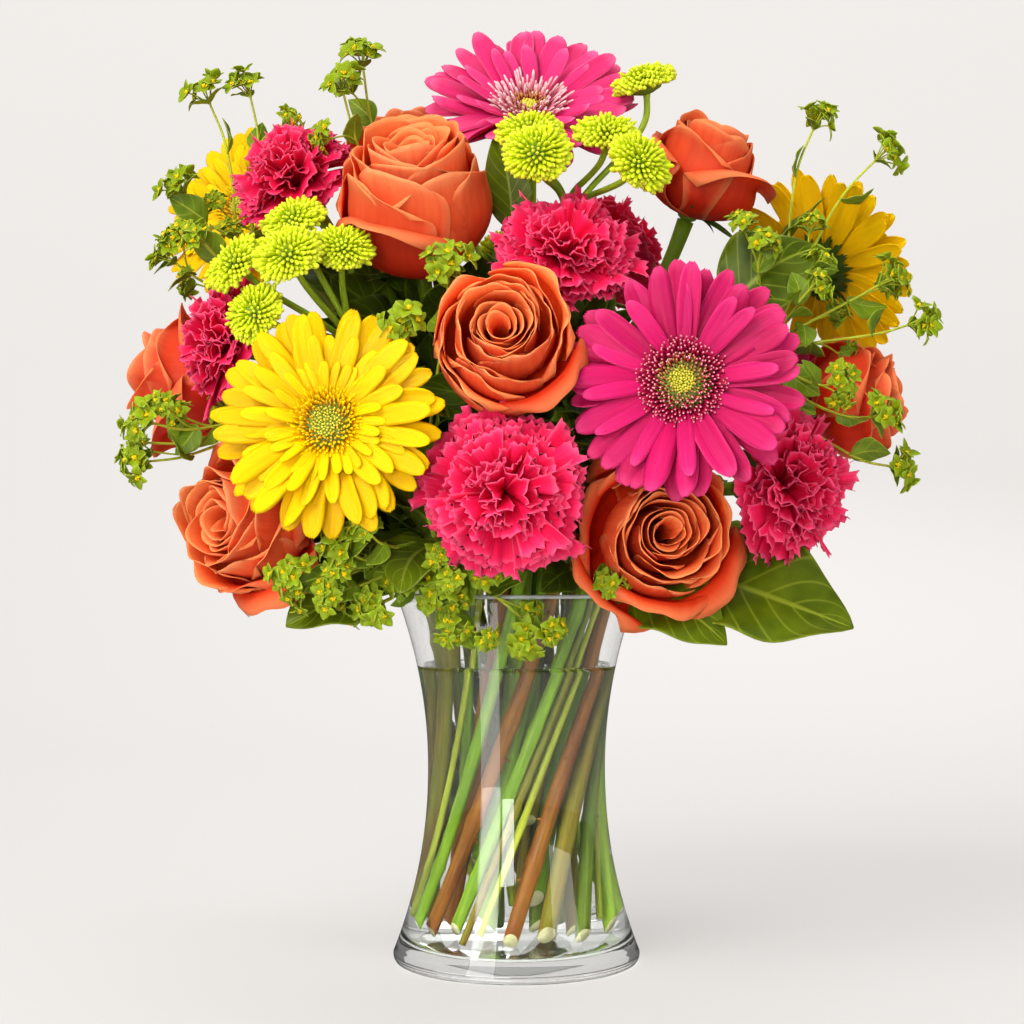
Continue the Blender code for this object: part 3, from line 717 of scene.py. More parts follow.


# each layer of rays: count, length and half width as shares of the radius, start height,
# lift at base and tip in degrees, depth, which is painted shade on the lower layers
gerberaKinds = dict(
    pink=dict(ray="pinkRay", inner="crimsonFloret", anther="beigeFloret", back="pinkRay",
              layers=[(22, 0.80, 0.108, 0.15, (16, -4), 0.7), (21, 0.79, 0.106, 0.175, (20, 2), 0.35),
                      (12, 0.64, 0.07, 0.2, (24, 8), 0.0)], fringe=(0.16, 0.32, 330, 0.09), eye=0.14),
    yellow=dict(ray="yellowRay", inner="yellowRay", anther="goldFloret", back="yellowBack",
                layers=[(23, 0.80, 0.098, 0.15, (14, -7), 0.7), (23, 0.77, 0.095, 0.17, (18, -1), 0.45),
                        (24, 0.56, 0.07, 0.195, (24, 4), 0.25), (30, 0.34, 0.042, 0.215, (34, 8), 0.0)],
                fringe=(0.17, 0.27, 170, 0.09), eye=0.17),
    pale=dict(ray="pinkPale", inner="paleFloret", anther="beigeFloret", back="pinkRay",
              layers=[(21, 0.82, 0.115, 0.15, (18, 2), 0.6), (20, 0.80, 0.11, 0.175, (26, 14), 0.3),
                      (16, 0.55, 0.07, 0.2, (34, 26), 0.0)], fringe=(0.12, 0.28, 200, 0.2), eye=0.1),
)
gerberaStyle = {"gerbera_3": "pale"}


def makeGerbera(name, seed):
    rng = np.random.default_rng(100 + seed)
    base, forward, size = headPlace(name)
    axes = basis(forward, rng.uniform(0, tau))
    kind = gerberaKinds[gerberaStyle.get(name, flowers[name][1])]
    rays = newPart()
    for layer, (count, length, half, start, lift, depthAndShade) in enumerate(kind["layers"]):
        for i in range(count):
            phi = tau * (i + 0.5 * (layer % 2)) / count + rng.normal() * 0.16 * tau / count
            sag = math.radians(rng.normal() * 4)
            petal(rays, phi, 0.2 * size, (start + rng.uniform(-0.008, 0.012)) * size,
                  length * size * rng.uniform(0.93, 1.02), half * size * rng.uniform(0.86, 1.1),
                  (math.radians(lift[0]) + sag, math.radians(lift[1]) + sag * 1.6),
                  rng.normal() * 0.2 + 0.12, rng.normal() * 0.18 - 0.06, 0.0004, rng.normal() * 0.5,
                  rng.random(), depthAndShade, 11, 9, rayOutline, base, axes, look=1, wave=rng.uniform(0.0, 0.06),
                  phase=rng.uniform(0, tau), notch=rng.uniform(0.004, 0.03))
    makePiece(name + "_petals", rays, [looks[kind["ray"]], looks[kind["back"]]],
              [name + "_head"], thick=0.00045, backLook=-1)

    disc = newPart()
    lathe(disc, np.array([(0.0, 0.04), (0.085, 0.0), (0.12, 0.03), (0.2, 0.08), (0.25, 0.13), (0.27, 0.18),
                          (0.26, 0.215), (0.16, 0.245), (0.05, 0.25), (0.0, 0.25)]) * size,
          40, base, axes, look=2)

    def ring(count, low, high, lengthRange, radius, tilt, look, curlOut=0.0, profile=None):
        # florets on the dome of the disc, between two distances from its middle
        spin = np.arange(count) * goldenTurn
        share = np.sqrt(np.linspace(low**2, high**2, count)) * size
        outward = np.stack([np.cos(spin), np.sin(spin), np.zeros(count)], 1)
        dome = (0.25 - 0.4 * np.clip(share / size - 0.16, 0, 1)**1.3)[:, None] * size - 0.0004
        place = outward * share[:, None] + upward * dome
        lean = (tilt * (share / size - low) / max(high - low, 0.01) + 0.12 * rng.normal(size=count))[:, None]
        heads = outward * lean + upward + rng.normal(size=(count, 3)) * 0.08
        lengths = rng.uniform(*lengthRange, count) * size
        quills(disc, placed(place, base, axes), heads @ axes.T, lengths, np.full(count, radius * size),
               profile or [(0, 0.8), (0.55, 0.9), (0.9, 1.0), (1.0, 0.5)], 5, (outward @ axes.T) * curlOut,
               rng, look)

    low, high, count, tall = kind["fringe"]
    ring(int(count * 0.9), low, high, (0.06, tall), 0.0115, 0.9, 0, curlOut=0.25)
    ring(90, kind["eye"] * 0.72, low + 0.02, (0.055, 0.085), 0.0085, 0.45, 1, curlOut=0.15)
    ring(80, 0.0, kind["eye"] * 0.74, (0.028, 0.045), 0.0125, 0.25, 3,
         profile=[(0, 0.9), (0.5, 1.0), (0.85, 0.75), (1, 0.3)])
    straps = 34  # little straps at the edge of the disc
    for i in range(straps):
        petal(disc, tau * i / straps + rng.normal() * 0.05, 0.24 * size, 0.205 * size,
              rng.uniform(0.07, 0.15) * size, rng.uniform(0.018, 0.03) * size,
              (math.radians(55), math.radians(15)), rng.normal() * 0.5, 0.4, 0.0, rng.normal(), rng.random(),
              0.1, 5, 3, rayOutline, base, axes, look=0)
    discLooks = [looks[kind["inner"]], looks[kind["anther"]], looks["calyx"], looks["greenEye"]]
    makePiece(name + "_disc", disc, discLooks)

    cup = newPart()
    for rowNumber, (count, start, length) in enumerate([(17, 0.03, 0.2), (17, 0.08, 0.2), (18, 0.13, 0.18)]):
        for i in range(count):
            r0 = np.interp(start, [0, 0.03, 0.08, 0.13], [0.09, 0.125, 0.205, 0.255]) * size
            petal(cup, tau * (i + rowNumber * 0.5) / count, r0, start * size, length * size, 0.035 * size,
                  (math.radians(42), math.radians(22 + rng.normal() * 8)), 0.0, -0.4, 0.0,
                  rng.normal() * 0.2, rng.random(), 0.2 * rowNumber, 6, 4, pointedOutline, base, axes)
    makePiece(name + "_calyx", cup, [looks["darkBract"]], thick=0.0004)


for seed, name in enumerate(n for n in flowers if n.startswith("gerbera")):
    makeGerbera(name, seed)
print("gerberas made")


# shares of the head radius: how wide the petals bulge and close, how tall they stand, how the rim curls
roseStyles = dict(
    open=dict(petals=31, inner=(0.14, 0.06), belly=1.0, rim=0.86, top=(1.42, 1.62, 1.14), curl=0.2,
              wide=1.0),
    half=dict(petals=32, inner=(0.13, 0.05), belly=0.96, rim=0.74, top=(1.52, 1.72, 1.34), curl=0.22,
              wide=1.0),
    tall=dict(petals=30, inner=(0.13, 0.05), belly=0.96, rim=0.7, top=(1.86, 2.08, 1.7), curl=0.26,
              wide=1.08),
    bud=dict(petals=26, inner=(0.13, 0.05), belly=0.95, rim=0.66, top=(1.56, 1.78, 1.5), curl=0.26,
             wide=1.12),
)
# style, how many of the outermost petals are red, how much painted shade darkens the whole flower
roseStyle = {
    "rose_1": ("tall", 2, 0.0), "rose_2": ("open", 1, 0.0), "rose_3": ("open", 6, 0.1),
    "rose_4": ("open", 7, 0.25), "rose_5": ("bud", 3, 0.4), "rose_6": ("half", 4, 0.5),
    "rose_7": ("bud", 4, 0.5), "rose_8": ("half", 2, 0.2), "rose_9": ("open", 3, 0.2),
}


def makeRose(name, seed):
    rng = np.random.default_rng(300 + seed)
    base, forward, size = headPlace(name)
    axes = basis(forward, rng.uniform(0, tau))
    kind, red, deepAndShade = roseStyle[name]
    style = roseStyles[kind]
    part = newPart()
    rows, cols = 17, 17
    u = np.linspace(0, 1, rows)[:, None]
    v = np.linspace(-1, 1, cols)[None]
    count = style["petals"]
    for i in range(count):
        t = i / (count - 1)
        phi = i * goldenTurn + rng.normal() * 0.3
        bellyR = style["inner"][0] + (style["belly"] - style["inner"][0]) * t**0.85
        rimR = (style["inner"][1] + (style["rim"] - style["inner"][1]) * t**0.95) * rng.uniform(0.93, 1.07)
        top = np.interp(t, [0, 0.5, 1], style["top"]) + rng.normal() * 0.04
        opened = 0.6 + 0.4 * np.clip((t - 0.15) / 0.85, 0, 1)**1.3
        curl = style["curl"] * opened * rng.uniform(0.6, 1.4)
        if i >= count - red:
            curl, top, rimR = curl * 1.8, top * 0.9, rimR * 1.08
        wide = style["wide"] * (0.40 + 0.52 * t) * rng.uniform(0.88, 1.1)
        p0, p1 = np.array([0.1, 0.07]), np.array([bellyR * 1.3, 0.12 + 0.1 * t])
        p2, p3 = np.array([bellyR * 1.12, top * 0.72]), np.array([rimR, top])
        mid = ((1 - u)**3 * p0 + 3 * (1 - u)**2 * u * p1 + 3 * (1 - u) * u**2 * p2 + u**3 * p3)
        r, z = mid[:, :1], mid[:, 1:]
        end = np.clip((u - 0.7) / 0.3, 0, 1)
        outline = (0.4 + 0.6 * np.sin(np.clip(u / 0.72, 0, 1) * math.pi / 2)) * (1 - 0.46 * end**2)
        angle = np.clip(v * wide * outline / np.maximum(r, 0.15), -2.0, 2.0)
        phase, lean = rng.uniform(0, tau), rng.normal() * 0.05
        r = r * (1 + (0.16 - 0.08 * t) * v + lean * u) + 0.1 * t * np.abs(v)**3 * u
        r = r + curl * (1 - np.cos(end * 1.9)) * 0.75 * (1.1 - np.abs(v)**2 * 0.3)
        r = r + (0.014 + 0.05 * t) * (np.sin(3.2 * v + phase) + 0.4 * np.sin(8.0 * v + 2 * phase)) * u**4
        z = (z - (0.13 + 0.27 * t) * np.abs(v)**2.4 * u**2 - curl * 0.7 * np.clip(end - 0.35, 0, 1)**1.5
             + 0.03 * np.sin(4.3 * v + phase * 2) * u**4
             + rng.uniform(0, 0.05) * t * end * (1 - np.abs(v))**2)
        turn = phi + angle
        grid = np.stack([r * np.cos(turn), r * np.sin(turn), z], -1) * size
        # the outermost petals are really red; the rest take the flower's painted shade plus a random
        # deepening
        depthAndShade = rng.uniform(0.8, 1.0) if i >= count - red else min(1.0, deepAndShade + 0.25 * rng.random())
        tone = toneOf(u, np.abs(v), rng.random(), depthAndShade, rows, cols)
        addGrid(part, placed(grid, base, axes), tone)
    makePiece(name + "_petals", part, [looks["roseBack"], looks["rosePetal"]], [name + "_head"],
              thick=0.0003, backLook=1, rimLook=1)

    hip = newPart()
    cup = np.array([(0.0, 0.0), (0.1, 0.0), (0.16, 0.04), (0.19, 0.11), (0.15, 0.17), (0.0, 0.2)]) * size
    lathe(hip, cup, 18, base, axes)
    for i in range(5):
        droop = rng.uniform(-1.0, 0.9)
        petal(hip, tau * i / 5 + rng.normal() * 0.15, 0.15 * size, 0.1 * size,
              rng.uniform(0.62, 0.85) * size, 0.1 * size, (0.1 + droop * 0.3, droop * 1.1),
              rng.normal() * 0.5, 0.5, 0.0, rng.normal(), rng.random(), 0.3, 9, 5, pointedOutline,
              base, axes, look=1)
    makePiece(name + "_sepals", hip, [looks["calyx"], looks["darkBract"]])


for seed, name in enumerate(n for n in flowers if n.startswith("rose")):
    makeRose(name, seed)
print("roses made")


carnationShape = dict(petals=56, fan=0.62, ruffle=0.075, folds=2.3, serration=0.055)


def makeCarnation(name, seed):
    rng = np.random.default_rng(500 + seed)
    base, forward, size = headPlace(name)
    axes = basis(forward, rng.uniform(0, tau))
    part = newPart()
    cols = 25
    u = np.array([0.0, 0.2, 0.38, 0.54, 0.68, 0.79, 0.88, 0.95, 1.0])[:, None]
    rows = len(u)
    v = np.linspace(-1, 1, cols)[None]
    zigzag = (np.arange(cols) % 2)[None] * (u > 0.99)
    count = carnationShape["petals"]
    for i in range(count):
        # every petal rises, then bends outwards; the outer ones lie flat and fall back a little
        t = (i + 0.5) / count
        low = math.radians(4 + 62 * t**0.8) + rng.normal() * 0.07
        high = math.radians(34 + 82 * t**0.75) + rng.normal() * 0.16
        length = (0.88 + 0.21 * t) * rng.uniform(0.9, 1.04)
        angle = low + (high - low) * u**1.4
        step = np.diff(u, axis=0, prepend=0)
        out = np.cumsum(np.sin(angle) * step, axis=0) * length
        rise = np.cumsum(np.cos(angle) * step, axis=0) * length
        phi = i * goldenTurn + rng.normal() * 0.2
        radial = np.array([math.cos(phi), math.sin(phi), 0.0])
        tang = np.array([-math.sin(phi), math.cos(phi), 0.0])
        roll = rng.normal() * (0.75 - 0.6 * t)
        normal = -radial * np.cos(angle) + upward * np.sin(angle)
        ahead = radial * np.sin(angle) + upward * np.cos(angle)
        side = tang * math.cos(roll) + normal * math.sin(roll)
        normal = normal * math.cos(roll) - tang * math.sin(roll)
        fan = carnationShape["fan"] * (0.75 + 0.55 * t) * rng.uniform(0.85, 1.12)
        wide = np.sin(v * fan) * u**1.2 * length
        nicks = carnationShape["serration"] * zigzag
        short = (0.16 * v**2 * rng.uniform(0.5, 1.2) + nicks * rng.uniform(0.6, 1.4, cols)
                 + 0.03 * np.abs(np.sin(3 * math.pi * v + i))) * u**3 * length
        phase, folds = rng.uniform(0, tau), carnationShape["folds"] * rng.uniform(0.7, 1.3)
        height = carnationShape["ruffle"] * (1.25 - 0.6 * t) * u**2 * (
            np.sin(folds * math.pi * v + phase) + 0.4 * np.sin(2.7 * folds * math.pi * v + 2 * phase) * u**3)
        grid = ((radial * out + upward * rise)[:, None] + side[:, None] * wide[..., None]
                + normal[:, None] * height[..., None] - ahead[:, None] * short[..., None]) * size
        grid = grid + np.array([0, 0, 0.58 * size])
        # the inner petals are darkened by painted shade through depth
        tone = toneOf(u, np.abs(v), rng.random(), 0.3 * (1 - t) * rng.random(), rows, cols)
        addGrid(part, placed(grid, base, axes), tone)
    makePiece(name + "_petals", part, [looks["carnationPetal"]], [name + "_head"], thick=0.00035)

    tube = newPart()
    lathe(tube, np.array([(0.0, 0.0), (0.1, 0.0), (0.15, 0.05), (0.17, 0.22), (0.19, 0.42), (0.24, 0.56),
                          (0.28, 0.66), (0.0, 0.6)]) * size, 20, base, axes, wave=0.04)
    for i in range(5):
        petal(tube, tau * i / 5, 0.24 * size, 0.58 * size, 0.2 * size, 0.1 * size, (1.2, 0.7), 0, 0.2, 0, 0,
              0.5, 0.1, 5, 4, pointedOutline, base, axes)
    makePiece(name + "_calyx", tube, [looks["calyx"]])


for seed, name in enumerate(n for n in flowers if n.startswith("carnation")):
    makeCarnation(name, seed)
print("carnations made")


pomponShape = dict(florets=210, stem=2.2, branch=0.7, flat=0.58, middle=0.34)


def addPompon(part, base, forward, size, rng):
    axes = basis(forward, rng.uniform(0, tau))
    n = pomponShape["florets"]
    t = (np.arange(n) + 0.5) / n
    polar = np.radians(4 + 98 * t**0.62)
    phi = np.arange(n) * goldenTurn
    out = np.stack([np.sin(polar) * np.cos(phi), np.sin(polar) * np.sin(phi), np.cos(polar)], 1)
    centre = np.array([0, 0, pomponShape["middle"] * size])
    dome = np.array([1.04, 1.04, pomponShape["flat"]])
    tips = out * dome * size * rng.uniform(0.88, 1.06, n)[:, None] + centre
    bases = out * 0.42 * size * np.array([1, 1, 0.6]) + centre
    heads = tips - bases
    lengths = np.linalg.norm(heads, axis=1)
    curl = (out + np.array([0, 0, 0.6])) * rng.uniform(-0.05, 0.16, n)[:, None]
    radii = rng.uniform(0.062, 0.088, n) * size * (0.7 + 0.6 * t)
    quills(part, placed(bases, base, axes), heads @ axes.T, lengths, radii,
           [(0, 0.5), (0.45, 0.8), (0.8, 1.0), (0.93, 0.8), (1.0, 0.22)], 5, curl @ axes.T, rng)
    core = np.array([(0.0, 0.0), (0.2, 0.0), (0.5, 0.1), (0.6, 0.26), (0.5, 0.6), (0.0, 0.75)]) * size
    lathe(part, core, 16, base, axes, look=1)


def makeSpray(name, seed):
    rng = np.random.default_rng(700 + seed)
    slot, footZ, fork, heads = sprays[name]
    stem = branchedStem(slot, footZ, fork)
    stalks, buds = newPart(), newPart()
    stemBody(stalks, stem, pomponShape["stem"], seed + 40, knots=3)
    for number, (centre, facing, radius, drop) in enumerate(heads):
        forward = direction(*facing)
        base = np.array(centre) - forward * radius / 2
        path = branchPath(stem, drop, base + forward, forward, 6)
        stemBody(stalks, path, pomponShape["stem"] * pomponShape["branch"], seed * 9 + number, look=2,
                 endLook=2, flare=1.3)
        addPompon(buds, base * mm, forward, radius * mm, rng)
    stalkLooks = [looks["greenStem"], looks["cutEnd"], looks["paleStem"]]
    makePiece(name + "_stem", stalks, stalkLooks, [name])
    makePiece(name + "_heads", buds, [looks["pomponPetal"], looks["calyx"]])


for seed, name in enumerate(sprays):
    makeSpray(name, seed)
print("pompons made")


sprigShape = dict(stem=1.65, branch=0.95, rays=7, rayLength=(7, 13), bract=(6.5, 9.5), buds=8)
bladeShape = dict(fold=0.22, arch=0.12, ripples=13, bow=0.08)


def addBlade(part, base, tip, width, facing, rng, rows=13, cols=9, look=0, wavy=0.05):
    # a leaf from base to tip, folded along its midrib, with a wavy edge
    along = tip - base
    side = unit(np.cross(along, facing))
    face = unit(np.cross(side, along))
    u = np.linspace(0, 1, rows)[:, None]
    v = np.linspace(-1, 1, cols)[None]
    across = v * leafOutline(u) * width / 2
    phase = rng.uniform(0, tau)
    lift = np.abs(across) * bladeShape["fold"] + np.sin(math.pi * u) * width * bladeShape["arch"]
    ripple = np.sin(u * bladeShape["ripples"] + phase + v) * v**2 * np.sin(math.pi * u)
    lift = lift + wavy * width * ripple
    bow = np.sin(math.pi * u) * width * bladeShape["bow"] * rng.normal()
    grid = (base + along * u[..., None] + side * (across + bow)[..., None] + face * lift[..., None])
    addGrid(part, grid, toneOf(u, np.abs(v), rng.random(), 0, rows, cols), look)


# small heads beyond the main ones, mostly hanging over the rim
extraUmbels = {
    "bupleurum_sprig_1": [
        ((-30, -86, 170), (-100, -20), 14), ((-52, -92, 190), (-110, 10), 6),
        ((-34, -106, 202), (-95, 20), 3), ((-84, -104, 186), (-120, 0), 5),
        ((-66, -118, 214), (-110, 30), 2), ((-16, -96, 196), (-90, 10), 8)],
    "bupleurum_sprig_2": [
        ((-156, -72, 268), (-150, 30), 60), ((-176, -66, 256), (-160, 10), 68),
        ((-150, -58, 352), (-150, 40), 3)],
    "bupleurum_sprig_3": [
        ((42, -92, 190), (-80, 0), 96), ((118, -82, 300), (-60, 30), 4), ((140, -60, 330), (-40, 40), 2),
        ((116, -62, 348), (-70, 40), 1), ((150, -74, 284), (-50, 20), 12)],
    "bupleurum_sprig_5": [
        ((40, 132, 250), (80, 20), 6), ((-30, 140, 250), (105, 10), 10), ((60, 112, 214), (60, -10), 22)],
}


def addUmbel(stalks, greens, base, forward, rng, scale=1.0):
    # rays from one point, each with five bracts and a tuft of buds
    axes = basis(forward, rng.uniform(0, tau))
    count = sprigShape["rays"]
    for k in range(count):
        turn = tau * k / count + rng.normal() * 0.25
        tilt = rng.uniform(0.35, 0.95) if k else 0.05
        head = axes @ np.array([math.cos(turn) * math.sin(tilt), math.sin(turn) * math.sin(tilt),
                                math.cos(tilt)])
        end = base + head * rng.uniform(*sprigShape["rayLength"]) * mm * scale
        bow = base + (end - base) * 0.55 + forward * 0.8 * mm
        ray = smoothPath([base - forward * 0.6 * mm, bow, end], 6)
        sweep(stalks, ray, np.full(6, 0.38 * mm), 6, rng.random(), 0)
        own = basis(head, rng.uniform(0, tau))
        for b in range(5):
            long = rng.uniform(*sprigShape["bract"]) * mm * scale * 0.82
            petal(greens, tau * b / 5 + rng.normal() * 0.12, 0.3 * mm, 0, long, long * 0.36,
                  (0.75 + rng.normal() * 0.2, 0.1 + rng.normal() * 0.3), rng.normal() * 0.3, 0.25, 0, 0,
                  rng.random(), 0.1, 6, 3, leafOutline, end, own)
        buds = rng.integers(6, sprigShape["buds"] + 1)
        spin = np.arange(buds) * goldenTurn
        lean = np.linspace(0.0, 0.75, buds)
        heads = np.stack([np.cos(spin) * np.sin(lean), np.sin(spin) * np.sin(lean), np.cos(lean)], 1) @ own.T
        quills(greens, np.tile(end, (buds, 1)), heads, rng.uniform(1.6, 2.6, buds) * mm,
               np.full(buds, 0.62 * mm), [(0, 0.35), (0.75, 1.0), (1.0, 0.35)], 4, np.zeros((buds, 3)),
               rng, look=1)
    for k in range(2):  # the broad bracts below the rays
        turn = rng.uniform(0, tau) + k * 2.4
        out = axes @ np.array([math.cos(turn), math.sin(turn), 0.35])
        long = rng.uniform(9, 13) * mm * scale
        addBlade(greens, base, base + unit(out) * long, long * 0.72, forward, rng, 9, 7, look=2, wavy=0.03)


def makeSprig(name, seed):
    rng = np.random.default_rng(900 + seed)
    slot, footZ, fork, umbels = sprigs[name]
    stem = branchedStem(slot, footZ, fork)
    stalks, greens = newPart(), newPart()
    stemBody(stalks, stem, sprigShape["stem"], seed + 60, endLook=1, knots=3, taper=0.25)
    for number, (centre, facing, drop) in enumerate(umbels + extraUmbels.get(name, [])):
        forward = direction(*facing)
        base = np.array(centre) - forward * 4
        path = branchPath(stem, drop, base + forward, forward, 7)
        stemBody(stalks, path, sprigShape["branch"], seed * 11 + number, endLook=0, taper=0.4)
        smaller = 1.0 if number < len(umbels) else 0.78
        addUmbel(stalks, greens, (base + forward * 0.8) * mm, forward, rng, smaller)
        reach = np.sum(np.linalg.norm(np.diff(path, axis=0), axis=1))
        for share in (0.45, 0.8):  # round leaves the branch runs through, and a side shoot
            place, along = placeBelow(path, reach * (1 - share))
            out = unit(along + rng.normal(size=3) * 0.55)
            long = rng.uniform(13, 20) * mm
            addBlade(greens, place * mm - out * long * 0.12, place * mm + out * long, long * 0.78,
                     unit(np.cross(out, rng.normal(size=3))), rng, 11, 9, look=2, wavy=0.04)
            if rng.random() < 0.5:
                shoot = unit(along + unit(rng.normal(size=3)) * 0.9)
                end = place * mm + shoot * rng.uniform(13, 20) * mm
                sweep(stalks, smoothPath([place * mm, place * mm + (along * 0.5 + shoot) * 5 * mm, end], 7),
                      np.full(7, 0.5 * mm), 6, rng.random(), 0)
                addUmbel(stalks, greens, end, shoot, rng, 0.7)
    makePiece(name + "_stem", stalks, [looks["thinStem"], looks["cutEnd"]], [name])
    makePiece(name + "_umbels", greens, [looks["bract"], looks["umbelBud"], looks["roundLeaf"]],
              thick=0.0003)


for seed, name in enumerate(sprigs):
    makeSprig(name, seed)
print("bupleurum made")


leafShape = dict(twig=1.8, stalk=1.1, spread=1.3, upright=0.55, filler=(34, 52), fillerWidth=0.58, tries=24,
                 inner=110, dome=(0, 0, 262), reach=(128, 108, 130))


def makeTwig(name, seed):
    rng = np.random.default_rng(1100 + seed)
    slot, footZ, fork, blades = twigs[name]
    stem = branchedStem(slot, footZ, fork)
    stalks, leaves = newPart(), newPart()
    stemBody(stalks, stem, leafShape["twig"], seed + 80, knots=2)
    for number, (base, tip, width, facing, drop) in enumerate(blades):
        base, tip = np.array(base, float), np.array(tip, float)
        forward = unit(tip - base)
        path = branchPath(stem, drop, base + forward * 3, forward, 6)
        stemBody(stalks, path, leafShape["stalk"], seed * 7 + number, endLook=0, taper=0.3)
        turned = (facing[0], facing[1] * leafShape["upright"])
        addBlade(leaves, base * mm, tip * mm, width * mm * leafShape["spread"], direction(*turned), rng,
                 25, 15, wavy=0.07)
    makePiece(name + "_stem", stalks, [looks["oliveStem"], looks["cutEnd"]], [name])
    makePiece(name + "_leaves", leaves, [looks["glossLeaf"]], thick=0.0005)


for seed, name in enumerate(twigs):
    makeTwig(name, seed)

# every flower head, so that the loose leaves can keep out of them
headSpots = [(np.array(centre, float), direction(*facing), radius, kind)
             for kind, colour, centre, facing, radius, slot, footZ in flowers.values()]
for slot, footZ, fork, heads in sprays.values():
    for centre, facing, radius, drop in heads:
        headSpots.append((np.array(centre, float), direction(*facing), radius, "pompon"))


def clearOfHeads(points):
    for centre, forward, radius, kind in headSpots:
        off = points - centre
        ahead = off @ forward
        wide = np.linalg.norm(off - ahead[:, None] * forward, axis=1)
        if kind == "gerbera":
            if np.any((wide < radius * 0.98) & (ahead > -7) & (ahead < 60)):
                return False
        elif np.any(np.linalg.norm(off, axis=1) < radius * 0.97):
            return False
    return True


def makeFiller(name, seed, count, look, long, lowZ):
    # leaves that grow from a flower's own stem, between the heads
    rng = np.random.default_rng(1300 + seed)
    path = smoothPath(stemPaths[name], 60)
    path = path[path[:, 2] > lowZ]
    stalks, leaves = newPart(), newPart()
    made = 0
    for k in range(count):
        for attempt in range(leafShape["tries"]):
            place = path[rng.integers(0, max(1, len(path) - 8))]
            out = unit(np.array([place[0], place[1], 0]) + rng.normal(size=3) * 18)
            along = unit(out + np.array([0, 0, rng.uniform(-0.35, 0.8)]) + rng.normal(size=3) * 0.35)
            length = rng.uniform(*long)
            start = place + along * rng.uniform(7, 16)
            tip = start + along * length
            facing = unit(upward + rng.normal(size=3) * 0.5 + out * 0.3)
            side = unit(np.cross(along, facing)) * length * 0.26
            probe = np.array([start + along * length * a + side * b
                              for a in (0.15, 0.5, 0.8, 1.0) for b in (-1, 0, 1)])
            if tip[2] > 172 and np.all(np.abs(tip[:2]) < (188, 150)) and clearOfHeads(probe):
                break
        else:
            continue
        bow = place + along * 4 + np.array([0, 0, 1.5])
        stalk = smoothPath(np.array([place, bow, start + along * 2]) * mm, 6)
        sweep(stalks, stalk, np.linspace(0.9, 0.6, 6) * mm, 6, rng.random(), 0)
        addBlade(leaves, start * mm, tip * mm, length * leafShape["fillerWidth"] * mm, facing, rng, 15, 9,
                 wavy=0.06)
        made += 1
    if made:
        makePiece(name + "_leafStalks", stalks, [looks["oliveStem"]])
        makePiece(name + "_leaves", leaves, [looks[look]], thick=0.0004)
    return made


def makeInnerLeavesForShade(seed):
    # dark leaves inside the dome of flowers, each on a stalk from the nearest stem; real leaves, set thick
    # and dark so they also stand in as painted shade in the gaps between the heads
    rng = np.random.default_rng(seed)
    every = np.concatenate([smoothPath(path, 50)[:-4] for path in stemPaths.values()])
    every = every[every[:, 2] > 200]
    stalks, leaves = newPart(), newPart()
    made = 0
    for k in range(leafShape["inner"] * 6):
        out = unit(rng.normal(size=3) + np.array([0, 0, 0.25]))
        tip = np.array(leafShape["dome"]) + out * np.array(leafShape["reach"]) * rng.uniform(0.62, 1.0)
        place = every[np.argmin(np.linalg.norm(every - (tip - out * 52), axis=1))]
        along = unit(tip - place + rng.normal(size=3) * 10)
        length = rng.uniform(38, 58)
        start = tip - along * length
        facing = unit(out * 0.8 + np.array([0, 0, 0.5]) + rng.normal(size=3) * 0.4)
        side = unit(np.cross(along, facing)) * length * 0.27
        probe = np.array([start + along * length * a + side * b
                          for a in (0.0, 0.25, 0.5, 0.75, 1.0) for b in (-1, 0, 1)])
        tooFar = np.linalg.norm(start - place) > 42
        if tooFar or start[2] < 190 or tip[2] < 178 or not clearOfHeads(probe):
            continue
        stalk = smoothPath(np.array([place, (place + start) / 2 + out * 1.5, start + along * 2]) * mm, 7)
        sweep(stalks, stalk, np.linspace(0.9, 0.6, 7) * mm, 6, rng.random(), 0)
        addBlade(leaves, start * mm, tip * mm, length * leafShape["fillerWidth"] * mm, facing, rng, 13, 9,
                 wavy=0.06)
        made += 1
        if made == leafShape["inner"]:
            break
    makePiece("inner_leafStalks", stalks, [looks["oliveStem"]])
    makePiece("inner_leaves_for_shade", leaves, [looks["roseLeaf"]], thick=0.0004)
    return made


total = makeInnerLeavesForShade(1500)
print("inner leaves:", total)
for seed, name in enumerate(flowers):
    if name.startswith("rose"):
        total += makeFiller(name, seed, 9, "roseLeaf", leafShape["filler"], 196)
    elif name.startswith("gerbera"):
        total += makeFiller(name, seed, 3, "glossLeaf", (40, 60), 200)
    else:
        total += makeFiller(name, seed, 5, "roseLeaf", (30, 46), 196)
print("leaves made:", total)


def outerRadius(z):
    shape = vaseShape
    if z < shape["waistAt"]:
        share = (shape["waistAt"] - max(z, shape["footEdge"])) / (shape["waistAt"] - shape["footEdge"])
        return shape["waist"] + (shape["foot"] - shape["waist"]) * share**2.1
    share = (z - shape["waistAt"]) / (shape["height"] - shape["waistAt"])
    return shape["waist"] + (shape["mouth"] - shape["waist"]) * share**2.0


def innerProfile(inset=0.0):
    # from the middle of the glass floor, round its corner and up to the rim
    wall, floor = vaseShape["wall"] + inset, vaseShape["floor"] + inset
    points = [(0.0, floor + 0.6), (20.0, floor + 0.5), (38.0, floor + 0.1)]
    corner = outerRadius(floor + 6) - wall
    for k in range(7):
        a = math.pi / 2 * k / 6
        points.append((corner - 5 + 5 * math.sin(a), floor + 5 - 5 * math.cos(a)))
    points += [(outerRadius(z) - wall, z) for z in np.linspace(floor + 7, vaseShape["height"] - 1.5, 44)]
    return points


